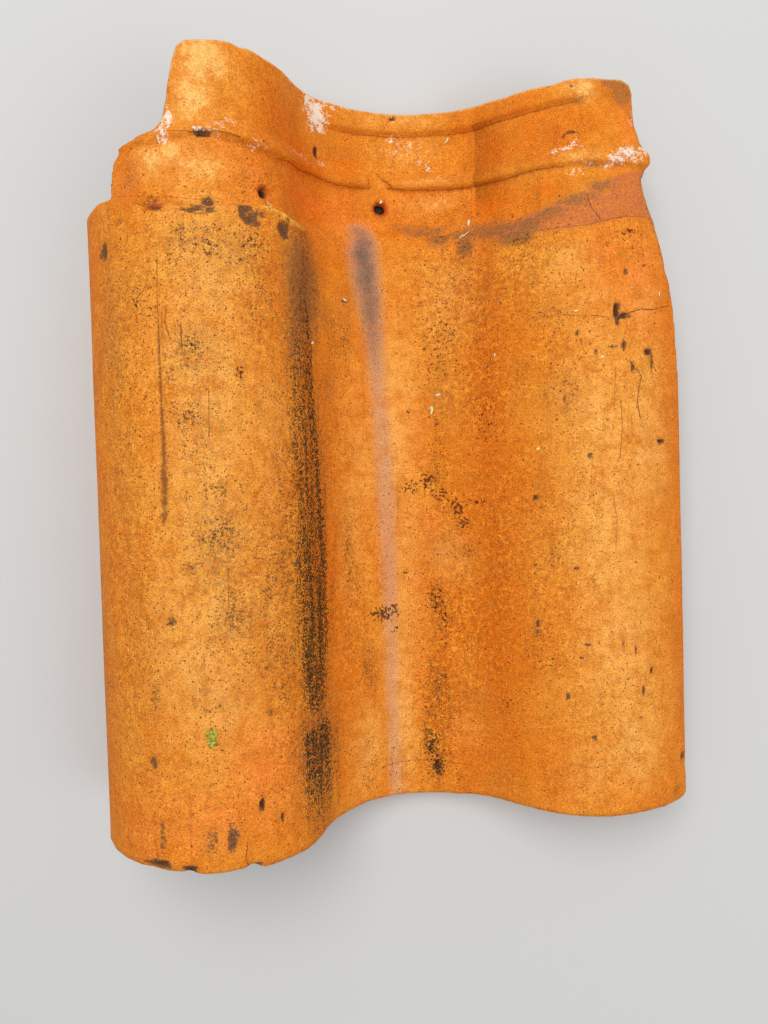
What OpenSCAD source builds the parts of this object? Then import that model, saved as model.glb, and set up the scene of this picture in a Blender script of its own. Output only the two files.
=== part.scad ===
// Clay roof tile with an S-shaped wave: a high cover roll, a pan and a low side roll.
// It lies on the foot of the cover roll's skirt and on the pan, with its tail at -Y and its head at +Y.
// The origin is at the middle of the footprint, on the floor.

/* [Overall] */
// Length from the tail edge to the head edge
length = 400; // [340:1:460]
// Thickness of the fired clay
thickness = 14; // [11:0.5:17]

/* [Wave] */
// Outer radius of the cover roll
cover_roll_r = 58; // [50:1:66]
// Height of the cover roll's crest above the pan
cover_roll_h = 86; // [76:1:96]
// Radius of the pan's upper surface
pan_r = 59; // [50:1:68]
// Outer radius of the side roll
side_roll_r = 76; // [64:1:88]
// Height of the side roll's crest above the pan
side_roll_h = 40; // [30:1:46]
// Angle through which the side roll turns down past its crest
side_turn = 42; // [30:1:55]

/* [Head lap] */
// Length of the lowered zone that the next tile covers
lap_len = 78; // [70:1:90]
// How far the lowered zone lies under the body's surface
lap_step = 5; // [3:0.5:7]
// Width of the two ribs across the lap
rib_w = 11; // [7:0.5:13]
// Height of the ribs above the lap
rib_h = 4; // [2:0.5:6]
// Distance from the head edge to the middle of the stop rib
stop_rib_from_head = 44; // [40:1:50]
// Width of the gap that the nail's place leaves in the stop rib
stop_rib_gap = 15; // [10:1:24]
// Distance from the pan line to the end of the head rib, towards the cover roll
head_rib_reach = 40; // [30:1:50]

/* [Nail holes] */
// Diameter of the nail hole
nail_hole_d = 6; // [4:0.5:8]
// Distance from the pan line to the nail hole, towards the cover roll
nail_from_pan = 14.5; // [8:0.5:20]
// Distance from the head edge to the nail hole
nail_from_head = 52; // [51:1:60]
// Diameter of the spare nail mark on the cover roll, which doesn't go through
spare_mark_d = 4.5; // [3:0.5:6]
// Depth of the spare nail mark
spare_mark_depth = 5; // [2:0.5:6]
// Place of the spare nail mark around the cover roll, above the level
spare_mark_turn = 45; // [35:1:70]
// Distance from the head edge to the spare nail mark
spare_mark_from_head = 68; // [62:0.5:70]

/* [Corners] */
// Width cut from the cover roll at the head
corner_cut_w = 54; // [40:1:58]
// Length of that cut from the head edge
corner_cut_len = 45; // [36:1:50]
// How much wider that cut is at the head edge
corner_draft = 8; // [0:1:10]
// Radius in the inner corner of that cut
corner_fillet_r = 12; // [4:1:16]
// Width cut from the cover roll between the corner and the step
shoulder_cut_w = 21; // [10:1:25]
// Length of the shoulder cut from the head edge
shoulder_cut_len = 73; // [60:1:76]
// How far the side edge curves in by the step
side_taper = 16; // [6:1:20]
// Length of that curve, before the step
side_taper_len = 88; // [60:1:120]
// How far the side edge leans in further, from the step to the head
head_taper = 12; // [4:1:16]

/* [Hidden] */

// Largest turn between two points of a round stretch, in degrees
arc_step = 5;
// How far a rib is rooted in the clay under it, and how far a slice runs into its neighbour
root = 2;
// How far a cutter reaches past what it cuts
past = 20;
clay_colour = [0.80, 0.47, 0.27];

// Slopes of the two flanks, where the arcs of the wave meet with one tangent
cover_flank = asin(1 - cover_roll_h / (cover_roll_r + pan_r));
side_flank = asin(1 - side_roll_h / (side_roll_r + pan_r));
// Places of the two rolls' centres, from the pan line on the pan's upper surface
cover_roll_x = sqrt(2 * cover_roll_h * (cover_roll_r + pan_r) - pow(cover_roll_h, 2));
cover_roll_z = cover_roll_h - cover_roll_r;
side_roll_x = sqrt(2 * side_roll_h * (side_roll_r + pan_r) - pow(side_roll_h, 2));
side_roll_z = side_roll_h - side_roll_r;
// The wave's two ends, from the pan line
cover_side_x = -cover_roll_x - cover_roll_r;
side_edge_x = side_roll_x + side_roll_r * sin(side_turn);
// The pan line's place across the tile, with the origin in the middle
pan_x = -(cover_side_x + side_edge_x) / 2;
step_y = length - lap_len;
stop_rib_y = length - stop_rib_from_head;
height = thickness + cover_roll_h;

// Points of an arc, counted from the given one, so that arcs in a row share no point
function arc(x, z, r, from, to, first = 0) =
    let (count = ceil(abs(to - from) / arc_step))
    [for (i = [first:count]) let (a = from + (to - from) * i / count) [x + r * cos(a), z + r * sin(a)]];

// The wave's line at a distance above its upper surface, from the skirt's foot to the side edge
function wave_line(rise) = concat(
    [[cover_side_x - rise, -thickness]],
    arc(-cover_roll_x, cover_roll_z, cover_roll_r + rise, 180, cover_flank),
    arc(0, pan_r, pan_r - rise, 180 + cover_flank, 360 - side_flank, 1),
    arc(side_roll_x, side_roll_z, side_roll_r + rise, 180 - side_flank, 90 - side_turn, 1));

function reversed(list) = [for (i = [len(list) - 1:-1:0]) list[i]];

// A slice of the tile between two places along it and two distances from the wave's upper surface
module wave_slice(from_y, to_y, lower, upper) {
    translate([0, to_y, 0])
    rotate([90, 0, 0])
    linear_extrude(to_y - from_y)
    polygon(concat(wave_line(upper), reversed(wave_line(lower))));
}

// A rib across the lap, kept between two distances from the pan line
module rib(middle_y, from_x, to_x) {
    intersection() {
        wave_slice(middle_y - rib_w / 2, middle_y + rib_w / 2, -lap_step - root, rib_h - lap_step);
        translate([from_x, middle_y - rib_w, -thickness])
        cube([to_x - from_x, 2 * rib_w, height + past]);
    }
}

// The waved slab, with its lowered head and the ribs on it
module slab() {
    wave_slice(0, step_y, -thickness, 0);
    wave_slice(step_y - root, length, -thickness, -lap_step);
    rib(stop_rib_y, cover_side_x, -nail_from_pan - stop_rib_gap / 2);
    rib(stop_rib_y, -nail_from_pan + stop_rib_gap / 2, side_edge_x);
    rib(length - rib_w / 2, -head_rib_reach, side_edge_x);
}

// Plan of what is cut from the cover roll's corner at the head
module corner_plan() {
    inner_x = cover_side_x + corner_cut_w;
    shoulder_x = cover_side_x + shoulder_cut_w;
    corner_y = length - corner_cut_len;
    polygon(concat(
        [[cover_side_x - past, length + past],
         [cover_side_x - past, length - shoulder_cut_len],
         [shoulder_x, length - shoulder_cut_len],
         [shoulder_x, corner_y]],
        arc(inner_x - corner_fillet_r, corner_y + corner_fillet_r, corner_fillet_r, 270, 360),
        [[inner_x + corner_draft, length],
         [inner_x + corner_draft, length + past]]));
}

// Plan of what is cut from the side edge: a curve up to the step, and a straight lean to the head
module side_plan() {
    curve_r = (pow(side_taper, 2) + pow(side_taper_len, 2)) / (2 * side_taper);
    curve_turn = asin(side_taper_len / curve_r);
    polygon(concat(
        [[side_edge_x + past, step_y - side_taper_len]],
        arc(side_edge_x - curve_r, step_y - side_taper_len, curve_r, 0, curve_turn),
        [[side_edge_x - side_taper - head_taper, length],
         [side_edge_x - side_taper - head_taper, length + past],
         [side_edge_x + past, length + past]]));
}

module nail_hole() {
    translate([-nail_from_pan, length - nail_from_head, -thickness - past])
    cylinder(d = nail_hole_d, h = thickness + cover_roll_h + past, $fn = 48);
}

// A mark pressed square to the cover roll's inner slope
module spare_mark() {
    translate([-cover_roll_x, length - spare_mark_from_head, cover_roll_z])
    rotate([0, 90 - spare_mark_turn, 0])
    translate([0, 0, cover_roll_r - lap_step - spare_mark_depth])
    cylinder(d = spare_mark_d, h = spare_mark_depth + past, $fn = 48);
}

module roof_tile() {
    color(clay_colour)
    translate([pan_x, -length / 2, thickness])
    difference() {
        slab();
        translate([0, 0, -thickness - past])
        linear_extrude(height + 2 * past)
        corner_plan();
        translate([0, 0, -thickness - past])
        linear_extrude(height + 2 * past)
        side_plan();
        nail_hole();
        spare_mark();
    }
}

roof_tile();
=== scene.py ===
"""Looks of a weathered clay roof tile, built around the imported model.

The tile's skin is laid out on its own coordinates: s runs across the tile along the wave's upper
surface, from the foot of the skirt to the side edge, and y runs from the tail to the head. Both are
in millimetres. A mark seen in the photograph is named by its pixel, and is put where the line of
sight through that pixel meets the tile.
"""
import math

import bpy
import numpy as np
from mathutils import Matrix
from mathutils.geometry import delaunay_2d_cdt


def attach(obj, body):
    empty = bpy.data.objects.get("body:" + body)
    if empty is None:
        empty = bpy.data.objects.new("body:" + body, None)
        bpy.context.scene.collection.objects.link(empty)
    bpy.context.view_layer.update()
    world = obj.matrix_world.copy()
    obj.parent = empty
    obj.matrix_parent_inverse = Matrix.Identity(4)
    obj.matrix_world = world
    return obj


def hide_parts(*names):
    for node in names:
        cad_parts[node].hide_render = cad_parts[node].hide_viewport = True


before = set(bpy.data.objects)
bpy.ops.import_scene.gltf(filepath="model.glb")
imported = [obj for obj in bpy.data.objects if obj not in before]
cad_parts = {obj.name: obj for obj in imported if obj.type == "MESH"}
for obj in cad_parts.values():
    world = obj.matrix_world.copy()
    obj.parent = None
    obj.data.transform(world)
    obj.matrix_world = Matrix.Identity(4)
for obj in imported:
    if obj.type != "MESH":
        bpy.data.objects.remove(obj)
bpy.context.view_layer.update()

# Sizes of the tile, as in the part's source
LENGTH = 400.0
THICKNESS = 14.0
COVER_R = 58.0
COVER_H = 86.0
PAN_R = 59.0
SIDE_R = 76.0
SIDE_H = 40.0
SIDE_TURN = math.radians(42.0)
LAP_LEN = 78.0
LAP_STEP = 5.0
RIB_H = 4.0
NAIL_R = 3.0
NAIL_FROM_PAN = 14.5
NAIL_FROM_HEAD = 52.0
# The spare mark, worn wider and shallower than in the source
SPARE_MARK_R = 2.6
SPARE_MARK_DEPTH = 4.5

# What the sizes lead to, from the pan line and the pan's upper surface
COVER_FLANK = math.asin(1 - COVER_H / (COVER_R + PAN_R))
SIDE_FLANK = math.asin(1 - SIDE_H / (SIDE_R + PAN_R))
COVER_X = math.sqrt(2 * COVER_H * (COVER_R + PAN_R) - COVER_H ** 2)
COVER_Z = COVER_H - COVER_R
SIDE_X = math.sqrt(2 * SIDE_H * (SIDE_R + PAN_R) - SIDE_H ** 2)
SIDE_Z = SIDE_H - SIDE_R
COVER_SIDE_X = -COVER_X - COVER_R
SIDE_EDGE_X = SIDE_X + SIDE_R * math.sin(SIDE_TURN)
PAN_LINE_X = -(COVER_SIDE_X + SIDE_EDGE_X) / 2
STEP_Y = LENGTH - LAP_LEN
# Arc lengths at which the wave's stretches begin, and its end
S_ROLL = THICKNESS + COVER_Z
S_PAN = S_ROLL + COVER_R * (math.pi - COVER_FLANK)
S_SIDE = S_PAN + PAN_R * (math.pi - COVER_FLANK - SIDE_FLANK)
S_EDGE = S_SIDE + SIDE_R * (math.pi / 2 - SIDE_FLANK + SIDE_TURN)

# The photograph's frame and its camera, with the place from the pan line and the tail
IMAGE_W = 768
IMAGE_H = 1024
FOCAL_PX = 769.0
SENSOR_MM = 36.0
CAMERA_PLACE = (-20.1, 185.0, 454.8)
CAMERA_TILT = math.radians(1.92)
CAMERA_LEAN = math.radians(0.11)
CAMERA_ROLL = math.radians(1.92)

MM = 0.001


def camera_axes():
    """Rows are the camera's right, up and backward directions."""
    turn = Matrix.Rotation(CAMERA_ROLL, 3, "Z")
    tilt = Matrix.Rotation(CAMERA_TILT, 3, "X")
    lean = Matrix.Rotation(CAMERA_LEAN, 3, "Y")
    return np.array(turn @ tilt @ lean)


def wave(s):
    """Places across and up, and the outward normal, at arc lengths along the upper surface."""
    s = np.asarray(s, float)
    roll = math.pi - (s - S_ROLL) / COVER_R
    pan = math.pi + COVER_FLANK + (s - S_PAN) / PAN_R
    side = math.pi - SIDE_FLANK - (s - S_SIDE) / SIDE_R
    stretch = [s < S_ROLL, s < S_PAN, s < S_SIDE]
    ones = np.ones_like(s)
    nx = np.select(stretch, [-ones, np.cos(roll), -np.cos(pan)], np.cos(side))
    nz = np.select(stretch, [0 * ones, np.sin(roll), -np.sin(pan)], np.sin(side))
    x = np.select(stretch, [COVER_SIDE_X * ones, -COVER_X + COVER_R * np.cos(roll), PAN_R * np.cos(pan)],
                  SIDE_X + SIDE_R * np.cos(side))
    z = np.select(stretch, [s - THICKNESS, COVER_Z + COVER_R * np.sin(roll), PAN_R + PAN_R * np.sin(pan)],
                  SIDE_Z + SIDE_R * np.sin(side))
    return x, z, nx, nz


# How far past the side edge the worn clay may reach
EDGE_SWELL = 6.0
# The visible part of the wave, on the body's surface and on the lowered lap
SEEN_POINTS = 3000
SEEN_S = np.linspace(S_ROLL, S_EDGE + EDGE_SWELL, SEEN_POINTS)
SEEN_X, SEEN_Z, SEEN_NX, SEEN_NZ = wave(SEEN_S)
LAP_X = SEEN_X - LAP_STEP * SEEN_NX
LAP_Z = SEEN_Z - LAP_STEP * SEEN_NZ
# Distances from the camera between which a line of sight is searched
SIGHT_NEAR = 330.0
SIGHT_FAR = 500.0
SIGHT_POINTS = 4000
# Side of the square of random numbers that the noise repeats
NOISE_CELLS = 128
FAR = 1e9
TINY = 1e-9


def s_at(x):
    """Arc length at a distance from the pan line."""
    return np.interp(x, SEEN_X, SEEN_S)


def on_tile(u, v):
    """Arc length and length along the tile where the line of sight through a pixel meets it."""
    ray = camera_axes().T @ np.array([(u - IMAGE_W / 2) / FOCAL_PX, (IMAGE_H / 2 - v) / FOCAL_PX, -1.0])
    reach = np.linspace(SIGHT_NEAR, SIGHT_FAR, SIGHT_POINTS)
    x, y, z = (np.array(CAMERA_PLACE) + reach[:, None] * ray).T
    ground = np.where(y > STEP_Y, np.interp(x, LAP_X, LAP_Z), np.interp(x, SEEN_X, SEEN_Z))
    hit = np.argmax(z < ground)
    across = LAP_X if y[hit] > STEP_Y else SEEN_X
    return float(np.interp(x[hit], across, SEEN_S)), float(y[hit])


def plan_place(u, v):
    """Distance from the pan line and length along the tile of the place seen at a pixel."""
    s, y = on_tile(u, v)
    return np.array([float(wave(s)[0]), y])


def smooth(low, high, value):
    """Smooth rise from 0 at low to 1 at high."""
    t = np.clip((value - low) / (high - low), 0, 1)
    return t * t * (3 - 2 * t)


def lumps(s, y, across, along, seed):
    """Smooth noise from -1 to 1, with lumps of the given sizes."""
    cells = np.random.default_rng(seed).uniform(-1, 1, (NOISE_CELLS, NOISE_CELLS))
    a = s / across + NOISE_CELLS // 2
    b = y / along + NOISE_CELLS // 2
    i = np.floor(a).astype(int)
    j = np.floor(b).astype(int)
    fa = smooth(0, 1, a - i)
    fb = smooth(0, 1, b - j)
    here = i % NOISE_CELLS
    beside = (i + 1) % NOISE_CELLS
    low_row = j % NOISE_CELLS
    high_row = (j + 1) % NOISE_CELLS
    low = cells[here, low_row] * (1 - fa) + cells[beside, low_row] * fa
    high = cells[here, high_row] * (1 - fa) + cells[beside, high_row] * fa
    return low * (1 - fb) + high * fb


def rough(s, y, across, along, seed, octaves=3):
    """Noise of several sizes, each half the one before."""
    total = sum(lumps(s, y, across / 2 ** k, along / 2 ** k, seed + k) / 2 ** k for k in range(octaves))
    return total / (2 - 2 ** (1 - octaves))


def spot(s, y, u, v, across, along):
    """1 at a mark's middle, falling to about a third at its half sizes as seen from above."""
    mx, my = plan_place(u, v)
    return np.exp(-((wave(s)[0] - mx) / across) ** 2 - ((y - my) / along) ** 2)


def from_line(x, y, start, end):
    """How far along a straight line each place lies, from 0 to 1, and its distance from the line."""
    way = end - start
    t = np.clip(((x - start[0]) * way[0] + (y - start[1]) * way[1]) / (way @ way), 0, 1)
    return t, np.hypot(x - start[0] - t * way[0], y - start[1] - t * way[1])


def streak(s, y, points):
    """Amount along a line of pixels, each with a half width as seen from above and an amount."""
    x = wave(s)[0]
    places = [plan_place(u, v) for u, v, width, amount in points]
    total = np.zeros(np.shape(s))
    for k in range(len(points) - 1):
        t, gap = from_line(x, y, places[k], places[k + 1])
        width = points[k][2] + t * (points[k + 1][2] - points[k][2])
        amount = points[k][3] + t * (points[k + 1][3] - points[k][3])
        total = np.maximum(total, amount * np.exp(-(gap / width) ** 2))
    return total


# Outline of the tile's skin

# Worn outline in plan, from the pan line and the tail: side edge, head edge, head corner and tail edge
SIDE_LINE = [
    (151.4, 2), (151.8, 31), (151.8, 61), (152.6, 91), (152.6, 121), (152.2, 151), (151.4, 211),
    (150.4, 245), (147.8, 278), (143.6, 298), (136, 320), (131.5, 334), (130.6, 341), (131, 349),
    (133.6, 352.5), (135.2, 358), (134.6, 363), (130.6, 369), (127, 378), (125.4, 393), (123.4, 398.4),
]
HEAD_LINE = [
    (118, 400.6), (104, 400.2), (83, 398.4), (72, 397), (52, 396.4), (32, 399), (10, 401.4), (-16, 402),
    (-34, 402), (-50, 403), (-58, 402.4), (-67, 402), (-77, 403.2), (-87, 403.4), (-99, 402.2),
]
CORNER_LINE = [
    (-107, 401.6), (-111.4, 399), (-114.4, 391), (-118.4, 374.5), (-120.4, 365), (-125, 360), (-137, 356),
    (-147, 353.6), (-152, 349.5), (-154, 341), (-155, 331.4), (-158, 330.6), (-164.5, 330),
]
TAIL_LINE = [
    (-158, -1), (-143, -0.4), (-127, -0.6), (-114, -1.4), (-104, -1.6), (-97, -1), (-84, -2.6),
    (-71, -3.4), (-61, -3), (-51, -1.4), (-36, 0.2), (-19, 0.6), (0, 0.2), (20, 0.4), (37, 2), (47, 2.2),
    (67, 1), (85, -0.2), (99, -0.4), (117, 0), (134, 0.2), (148, 0.8),
]


# The skirt's edges at the head and the tail, on the tile's own coordinates
SKIRT_LINE = [(S_ROLL + 6, 330.4), (S_ROLL - 12, 331), (0, 331), (0, 0), (S_ROLL, -1)]


def outline():
    """The skin's outline as places on the tile, round from the tail's side edge."""
    before = [(float(s_at(x)), y) for x, y in SIDE_LINE + HEAD_LINE + CORNER_LINE]
    after = [(float(s_at(x)), y) for x, y in TAIL_LINE]
    return np.array(before + SKIRT_LINE + after)


OUTLINE = outline()
NAIL_S = float(s_at(-NAIL_FROM_PAN))
NAIL_Y = LENGTH - NAIL_FROM_HEAD

# How uneven the worn edges are
EDGE_WEAR = 0.3
# Bites out of the edges: pixel, half sizes across and along, and depth
EDGE_BITES = [
    (158, 866, 9, 3, 1), (190, 871, 4, 3, 0.9), (254, 866, 4, 3.4, 2.2), (294, 857, 6, 3, 0.8),
    (686, 765, 3, 4, 1.2), (686, 600, 3, 9, 0.8), (668, 270, 3, 4, 1.8), (240, 46, 3, 3, 0.8),
    (168, 100, 3, 5, 0.8), (555, 84, 6, 3, 0.8),
]


def plain_edge_distance(s, y):
    """Distance inside the outline, below nought outside it."""
    near = np.full(np.shape(s), FAR)
    inside = np.zeros(np.shape(s), bool)
    for a, b in zip(OUTLINE, np.roll(OUTLINE, -1, axis=0)):
        near = np.minimum(near, from_line(s, y, a, b)[1])
        way = b - a
        rise = way[1] if abs(way[1]) > TINY else TINY
        crosses = (a[1] > y) != (b[1] > y)
        inside ^= crosses & (s < a[0] + (y - a[1]) / rise * way[0])
    return np.where(inside, near, -near)


def edge_distance(s, y):
    """Distance inside the worn outline, counting the nail hole as outside."""
    seen = smooth(S_ROLL - 10, S_ROLL + 10, s)
    wear = EDGE_WEAR * rough(s, y, 14, 14, 11) + EDGE_WEAR * rough(s, y, 4, 4, 17)
    edge = plain_edge_distance(s, y) - seen * wear
    for u, v, across, along, depth in EDGE_BITES:
        edge = edge - depth * spot(s, y, u, v, across, along)
    hole = np.hypot(s - NAIL_S, y - NAIL_Y) - NAIL_R
    return np.minimum(edge, hole)


# Relief of the head lap, from the lines that the photograph shows

STEP_TOE = [
    (92, 207), (112, 198), (165, 199), (215, 203), (262, 205), (300, 219), (340, 224), (401, 225),
    (470, 227), (513, 220), (546, 207), (579, 192), (611, 177), (644, 168),
]
STEP_CREST = [
    (92, 213), (112, 207), (150, 206), (205, 208), (262, 211), (300, 230), (340, 241), (401, 244),
    (470, 243), (513, 238), (535, 233), (568, 229), (600, 224), (622, 220), (641, 221), (652, 226),
]
STOP_RIB_LOW = [
    (150, 143), (165, 139), (210, 135), (245, 146), (275, 159), (308, 174), (329, 185), (368, 189),
    (388, 190), (431, 191), (470, 188), (503, 181), (535, 171), (568, 166), (589, 164), (607, 166),
    (650, 169),
]
STOP_RIB_HIGH = [
    (150, 128), (165, 124), (219, 120), (253, 128), (286, 144), (308, 159), (335, 170), (366, 174),
    (385, 177), (431, 176), (470, 173), (513, 162), (550, 151), (600, 142), (631, 142), (650, 147),
]
HEAD_RIB_LOW = [
    (300, 112), (340, 132), (372, 136), (431, 136), (470, 132), (503, 121), (535, 112), (568, 103),
    (583, 100), (620, 96),
]
GAP_LEFT = (369, 189)
GAP_RIGHT_HIGH = (381, 177)
GAP_RIGHT_LOW = (390, 190)
HEAD_RIB_START = (318, 118)
HEAD_RIB_STOP = (588, 98)


def along_line(s, pixels):
    """Length along the tile of a line across it, at each arc length."""
    line = np.array([on_tile(u, v) for u, v in pixels])
    return np.interp(s, line[:, 0], line[:, 1])


def step_lines(s):
    """Lengths along the tile at which the step's slope begins and ends."""
    toe = along_line(s, STEP_TOE)
    return np.minimum(along_line(s, STEP_CREST), toe - 2.0), toe


def stop_rib(s, y):
    """Height of the rib that the next tile stops at, with its gap for the nail."""
    low = along_line(s, STOP_RIB_LOW)
    high = np.maximum(along_line(s, STOP_RIB_HIGH), low + 6)
    t = (y - low) / (high - low)
    profile = smooth(-0.08, 0.16, t) * (1 - smooth(0.42, 1.15, t))
    gap_left = on_tile(*GAP_LEFT)[0]
    slant = np.clip(t, 0, 1)
    gap_right = on_tile(*GAP_RIGHT_LOW)[0] * (1 - slant) + on_tile(*GAP_RIGHT_HIGH)[0] * slant
    before = 1 - smooth(gap_left - 3, gap_left + 1, s)
    whole = np.where(s < (gap_left + gap_right) / 2, before, smooth(gap_right - 1.2, gap_right + 1.2, s))
    crown_s = float(s_at(-COVER_X))
    worn = 0.55 + 0.45 * smooth(crown_s - 5, crown_s + 30, s)
    return RIB_H * profile * whole * worn * (0.85 + 0.25 * rough(s, y, 22, 60, 23))


def head_rib(s, y):
    """Height of the rib along the head edge, from the pan to the side roll."""
    start = on_tile(*HEAD_RIB_START)[0]
    stop = on_tile(*HEAD_RIB_STOP)[0]
    kept = smooth(start - 6, start + 14, s) * (1 - 0.8 * smooth(stop - 14, stop + 14, s))
    return RIB_H * 0.9 * smooth(-0.4, 2.2, y - along_line(s, HEAD_RIB_LOW)) * kept


def lap_relief(s, y):
    """Height of the step and of the two ribs, from the body's surface."""
    crest, toe = step_lines(s)
    step = LAP_STEP * smooth(0, 1, (y - crest) / (toe - crest))
    return stop_rib(s, y) + head_rib(s, y) - step


# Broken places on the surface: pixel, half sizes as seen from above, depth, and how dark the scar is
SCARS = [
    (152, 203, 4.6, 3, 1.9, 0.45), (156, 208, 3, 1.2, 1.2, 0.6), (206, 202, 4, 2.8, 1.4, 0.72),
    (199, 206, 3.6, 2.2, 1.2, 0.66), (209, 208, 2.8, 2, 1, 0.66), (190, 209, 7, 1, 1.4, 0.75),
    (246, 209, 3.4, 3, 1.4, 0.72), (249, 217, 4.2, 4, 1.5, 0.72), (256, 224, 3.6, 2.4, 1, 0.62),
    (259, 214, 3, 1.8, 0.8, 0.58), (284, 229, 2.6, 5, 1.2, 0.72), (104, 251, 2.4, 5, 1, 0.74),
    (118, 222, 3, 2, 1, 0.4), (617, 310, 2, 4.4, 3, 1), (624, 316, 3.8, 1.7, 2, 0.9),
    (618, 321, 1.5, 3.4, 1.4, 0.8), (577, 333, 1.2, 1.6, 0.8, 0.8), (596, 352, 1, 3.2, 0.8, 0.6),
    (613, 347, 3, 1, 0.6, 0.55), (624, 345, 1.6, 3.2, 1.4, 0.85), (648, 351, 3, 2, 1.2, 0.85),
    (652, 362, 1.1, 4.2, 0.8, 0.8), (633, 367, 1.6, 2.8, 0.8, 0.75), (661, 441, 2.4, 1.5, 1.4, 0.95),
    (590, 455, 1.3, 1.8, 0.9, 0.8), (535, 497, 1.1, 2, 0.9, 0.9), (626, 271, 1, 2.6, 0.7, 0.7),
    (643, 211, 1.2, 1.8, 1, 0.85), (643, 266, 1, 1.2, 0.6, 0.8), (263, 805, 1.2, 3.4, 2, 1),
    (283, 817, 0.9, 2.4, 1.8, 1), (233, 840, 2.6, 7.5, 0.5, 0.7), (212, 843, 3.6, 8, 0.4, 0.45),
    (163, 838, 2, 9, 0.3, 0.5), (161, 864, 8, 2.2, 1.2, 0.86), (191, 869, 4.4, 2.2, 1.2, 0.86),
    (262, 865, 6, 1.2, 0.6, 0.6), (154, 762, 2, 3.4, 0.4, 0.66), (652, 671, 1.2, 2, 1, 0.95),
    (644, 690, 0.8, 3, 0.8, 0.85), (577, 569, 1.6, 1.2, 0.6, 0.8), (588, 644, 2, 1, 0.6, 0.75),
    (600, 643, 1.6, 1, 0.6, 0.75), (581, 658, 1.4, 1.2, 0.6, 0.7), (624, 644, 0.8, 2.4, 0.6, 0.75),
    (636, 650, 0.9, 2.8, 0.6, 0.65), (568, 696, 1.2, 2.6, 0.5, 0.7), (595, 738, 1.4, 1.6, 0.7, 0.8),
    (641, 718, 1.4, 1.2, 0.5, 0.55), (683, 756, 1.6, 2.4, 1.6, 0.95), (538, 624, 1.2, 1.6, 0.7, 0.9),
    (538, 632, 2.2, 2.4, 0.4, 0.55), (390, 122, 3, 0.8, 0.6, 0.8), (316, 152, 0.9, 3.6, 1, 0.95),
    (571, 132, 3, 0.8, 0.6, 0.85), (564, 136, 1, 2, 0.5, 0.7), (549, 86, 1.6, 2.2, 0.8, 0.8),
    (571, 88, 1, 2, 0.6, 0.6), (200, 134, 5, 1.6, 1.2, 0.85), (345, 301, 2, 1.6, 0.4, 0.8),
    (170, 622, 3, 2.6, 0.3, 0.55),
]
SPARE_MARK = (264, 193)
SPARE_MARK_SQUASH = 0.8
# Lines of pixels, each with a half width as seen from above and an amount
RIDGE = [
    (257, 208, 1.4, 0.9), (266, 212, 2.4, 1), (275, 214, 1.8, 1), (287, 220, 2.6, 1),
    (301, 228, 1.4, 0.9),
]
GROOVE = [
    (156, 245, 0.6, 0.25), (157, 291, 0.6, 0.5), (159, 350, 0.7, 0.9), (161, 392, 0.9, 1),
    (163, 443, 1.6, 1), (164, 490, 2.2, 1), (164, 518, 2, 0.9), (163, 527, 1.2, 0.5),
]


def surface_relief(s, y):
    """Hand-made unevenness, wiping lines along the tile, and fine roughness."""
    seen = smooth(S_ROLL - 30, S_ROLL + 10, s)
    waves = 0.45 * rough(s, y, 60, 120, 31)
    waves = waves + 0.16 * lumps(s, y, 7, 180, 37) + 0.08 * lumps(s, y, 3.2, 90, 41)
    swell = (HEAD_SWELL + TAIL_SWELL * (1 - y / LENGTH)) * np.exp(-((s - S_ROLL - 12) / 26) ** 2)
    return swell + waves + (0.4 + 0.6 * seen) * 0.09 * rough(s, y, 3.4, 3.4, 43)


def spare_mark(s, y):
    """Depth and darkness of the spare nail mark, a round pit with flattened sides."""
    ms, my = on_tile(*SPARE_MARK)
    ds = np.abs(s - ms) * SPARE_MARK_SQUASH
    dy = np.abs(y - my)
    r = np.maximum(ds, dy) * 0.5 + np.hypot(ds, dy) * 0.5
    depth = SPARE_MARK_DEPTH * (1 - smooth(SPARE_MARK_R - 1.4, SPARE_MARK_R + 0.9, r))
    return depth, 1 - smooth(SPARE_MARK_R - 1.2, SPARE_MARK_R + 0.6, r)


def scars(s, y):
    """Depth of the broken places, and how dark each place's scar is."""
    x = wave(s)[0]
    ragged = 0.5 * rough(s, y, 4.0, 4.0, 53)
    depth, dark = spare_mark(s, y)
    for u, v, across, along, deep, shade in SCARS:
        mx, my = plan_place(u, v)
        r = np.hypot((x - mx) / across, (y - my) / along) + ragged * min(1.0, across / 4)
        depth = np.maximum(depth, deep * (1 - smooth(0.6, 1.2, r)))
        dark = np.maximum(dark, shade * (1 - smooth(0.55, 1.45, r)))
    return depth, dark


# How far the cover roll's outer side swells past its plain arc at the head, and how much more at the tail
HEAD_SWELL = 1.2
TAIL_SWELL = 3.4
EDGE_ROUND_W = 2.6
EDGE_ROUND_H = 1.2
GROOVE_DEPTH = 0.9
RIDGE_H = 1.6


def skin_height(s, y):
    """Height of the finished upper surface above the plain wave."""
    width = EDGE_ROUND_W * (1 + 0.3 * rough(s, y, 30, 30, 61))
    over = np.clip(1 - np.maximum(edge_distance(s, y), 0) / width, 0, 1)
    groove = GROOVE_DEPTH * streak(s, y, GROOVE)
    ridge = RIDGE_H * streak(s, y, RIDGE)
    relief = lap_relief(s, y) + surface_relief(s, y) - scars(s, y)[0]
    return relief - groove + ridge - EDGE_ROUND_H * over ** 2


# The skin as a mesh

COLUMN_STEP = 1.5
SKIRT_COLUMN_STEP = 3.0
SKIRT_COLUMNS_TO = 36.0
BODY_ROW_STEP = 1.75
LAP_ROW_STEP = 1.05
LAP_ROWS_FROM = 312.0
WALL_RINGS = 4
UNDER_STEP = 6.0
UNDER_ROUND = 2.0
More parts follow.
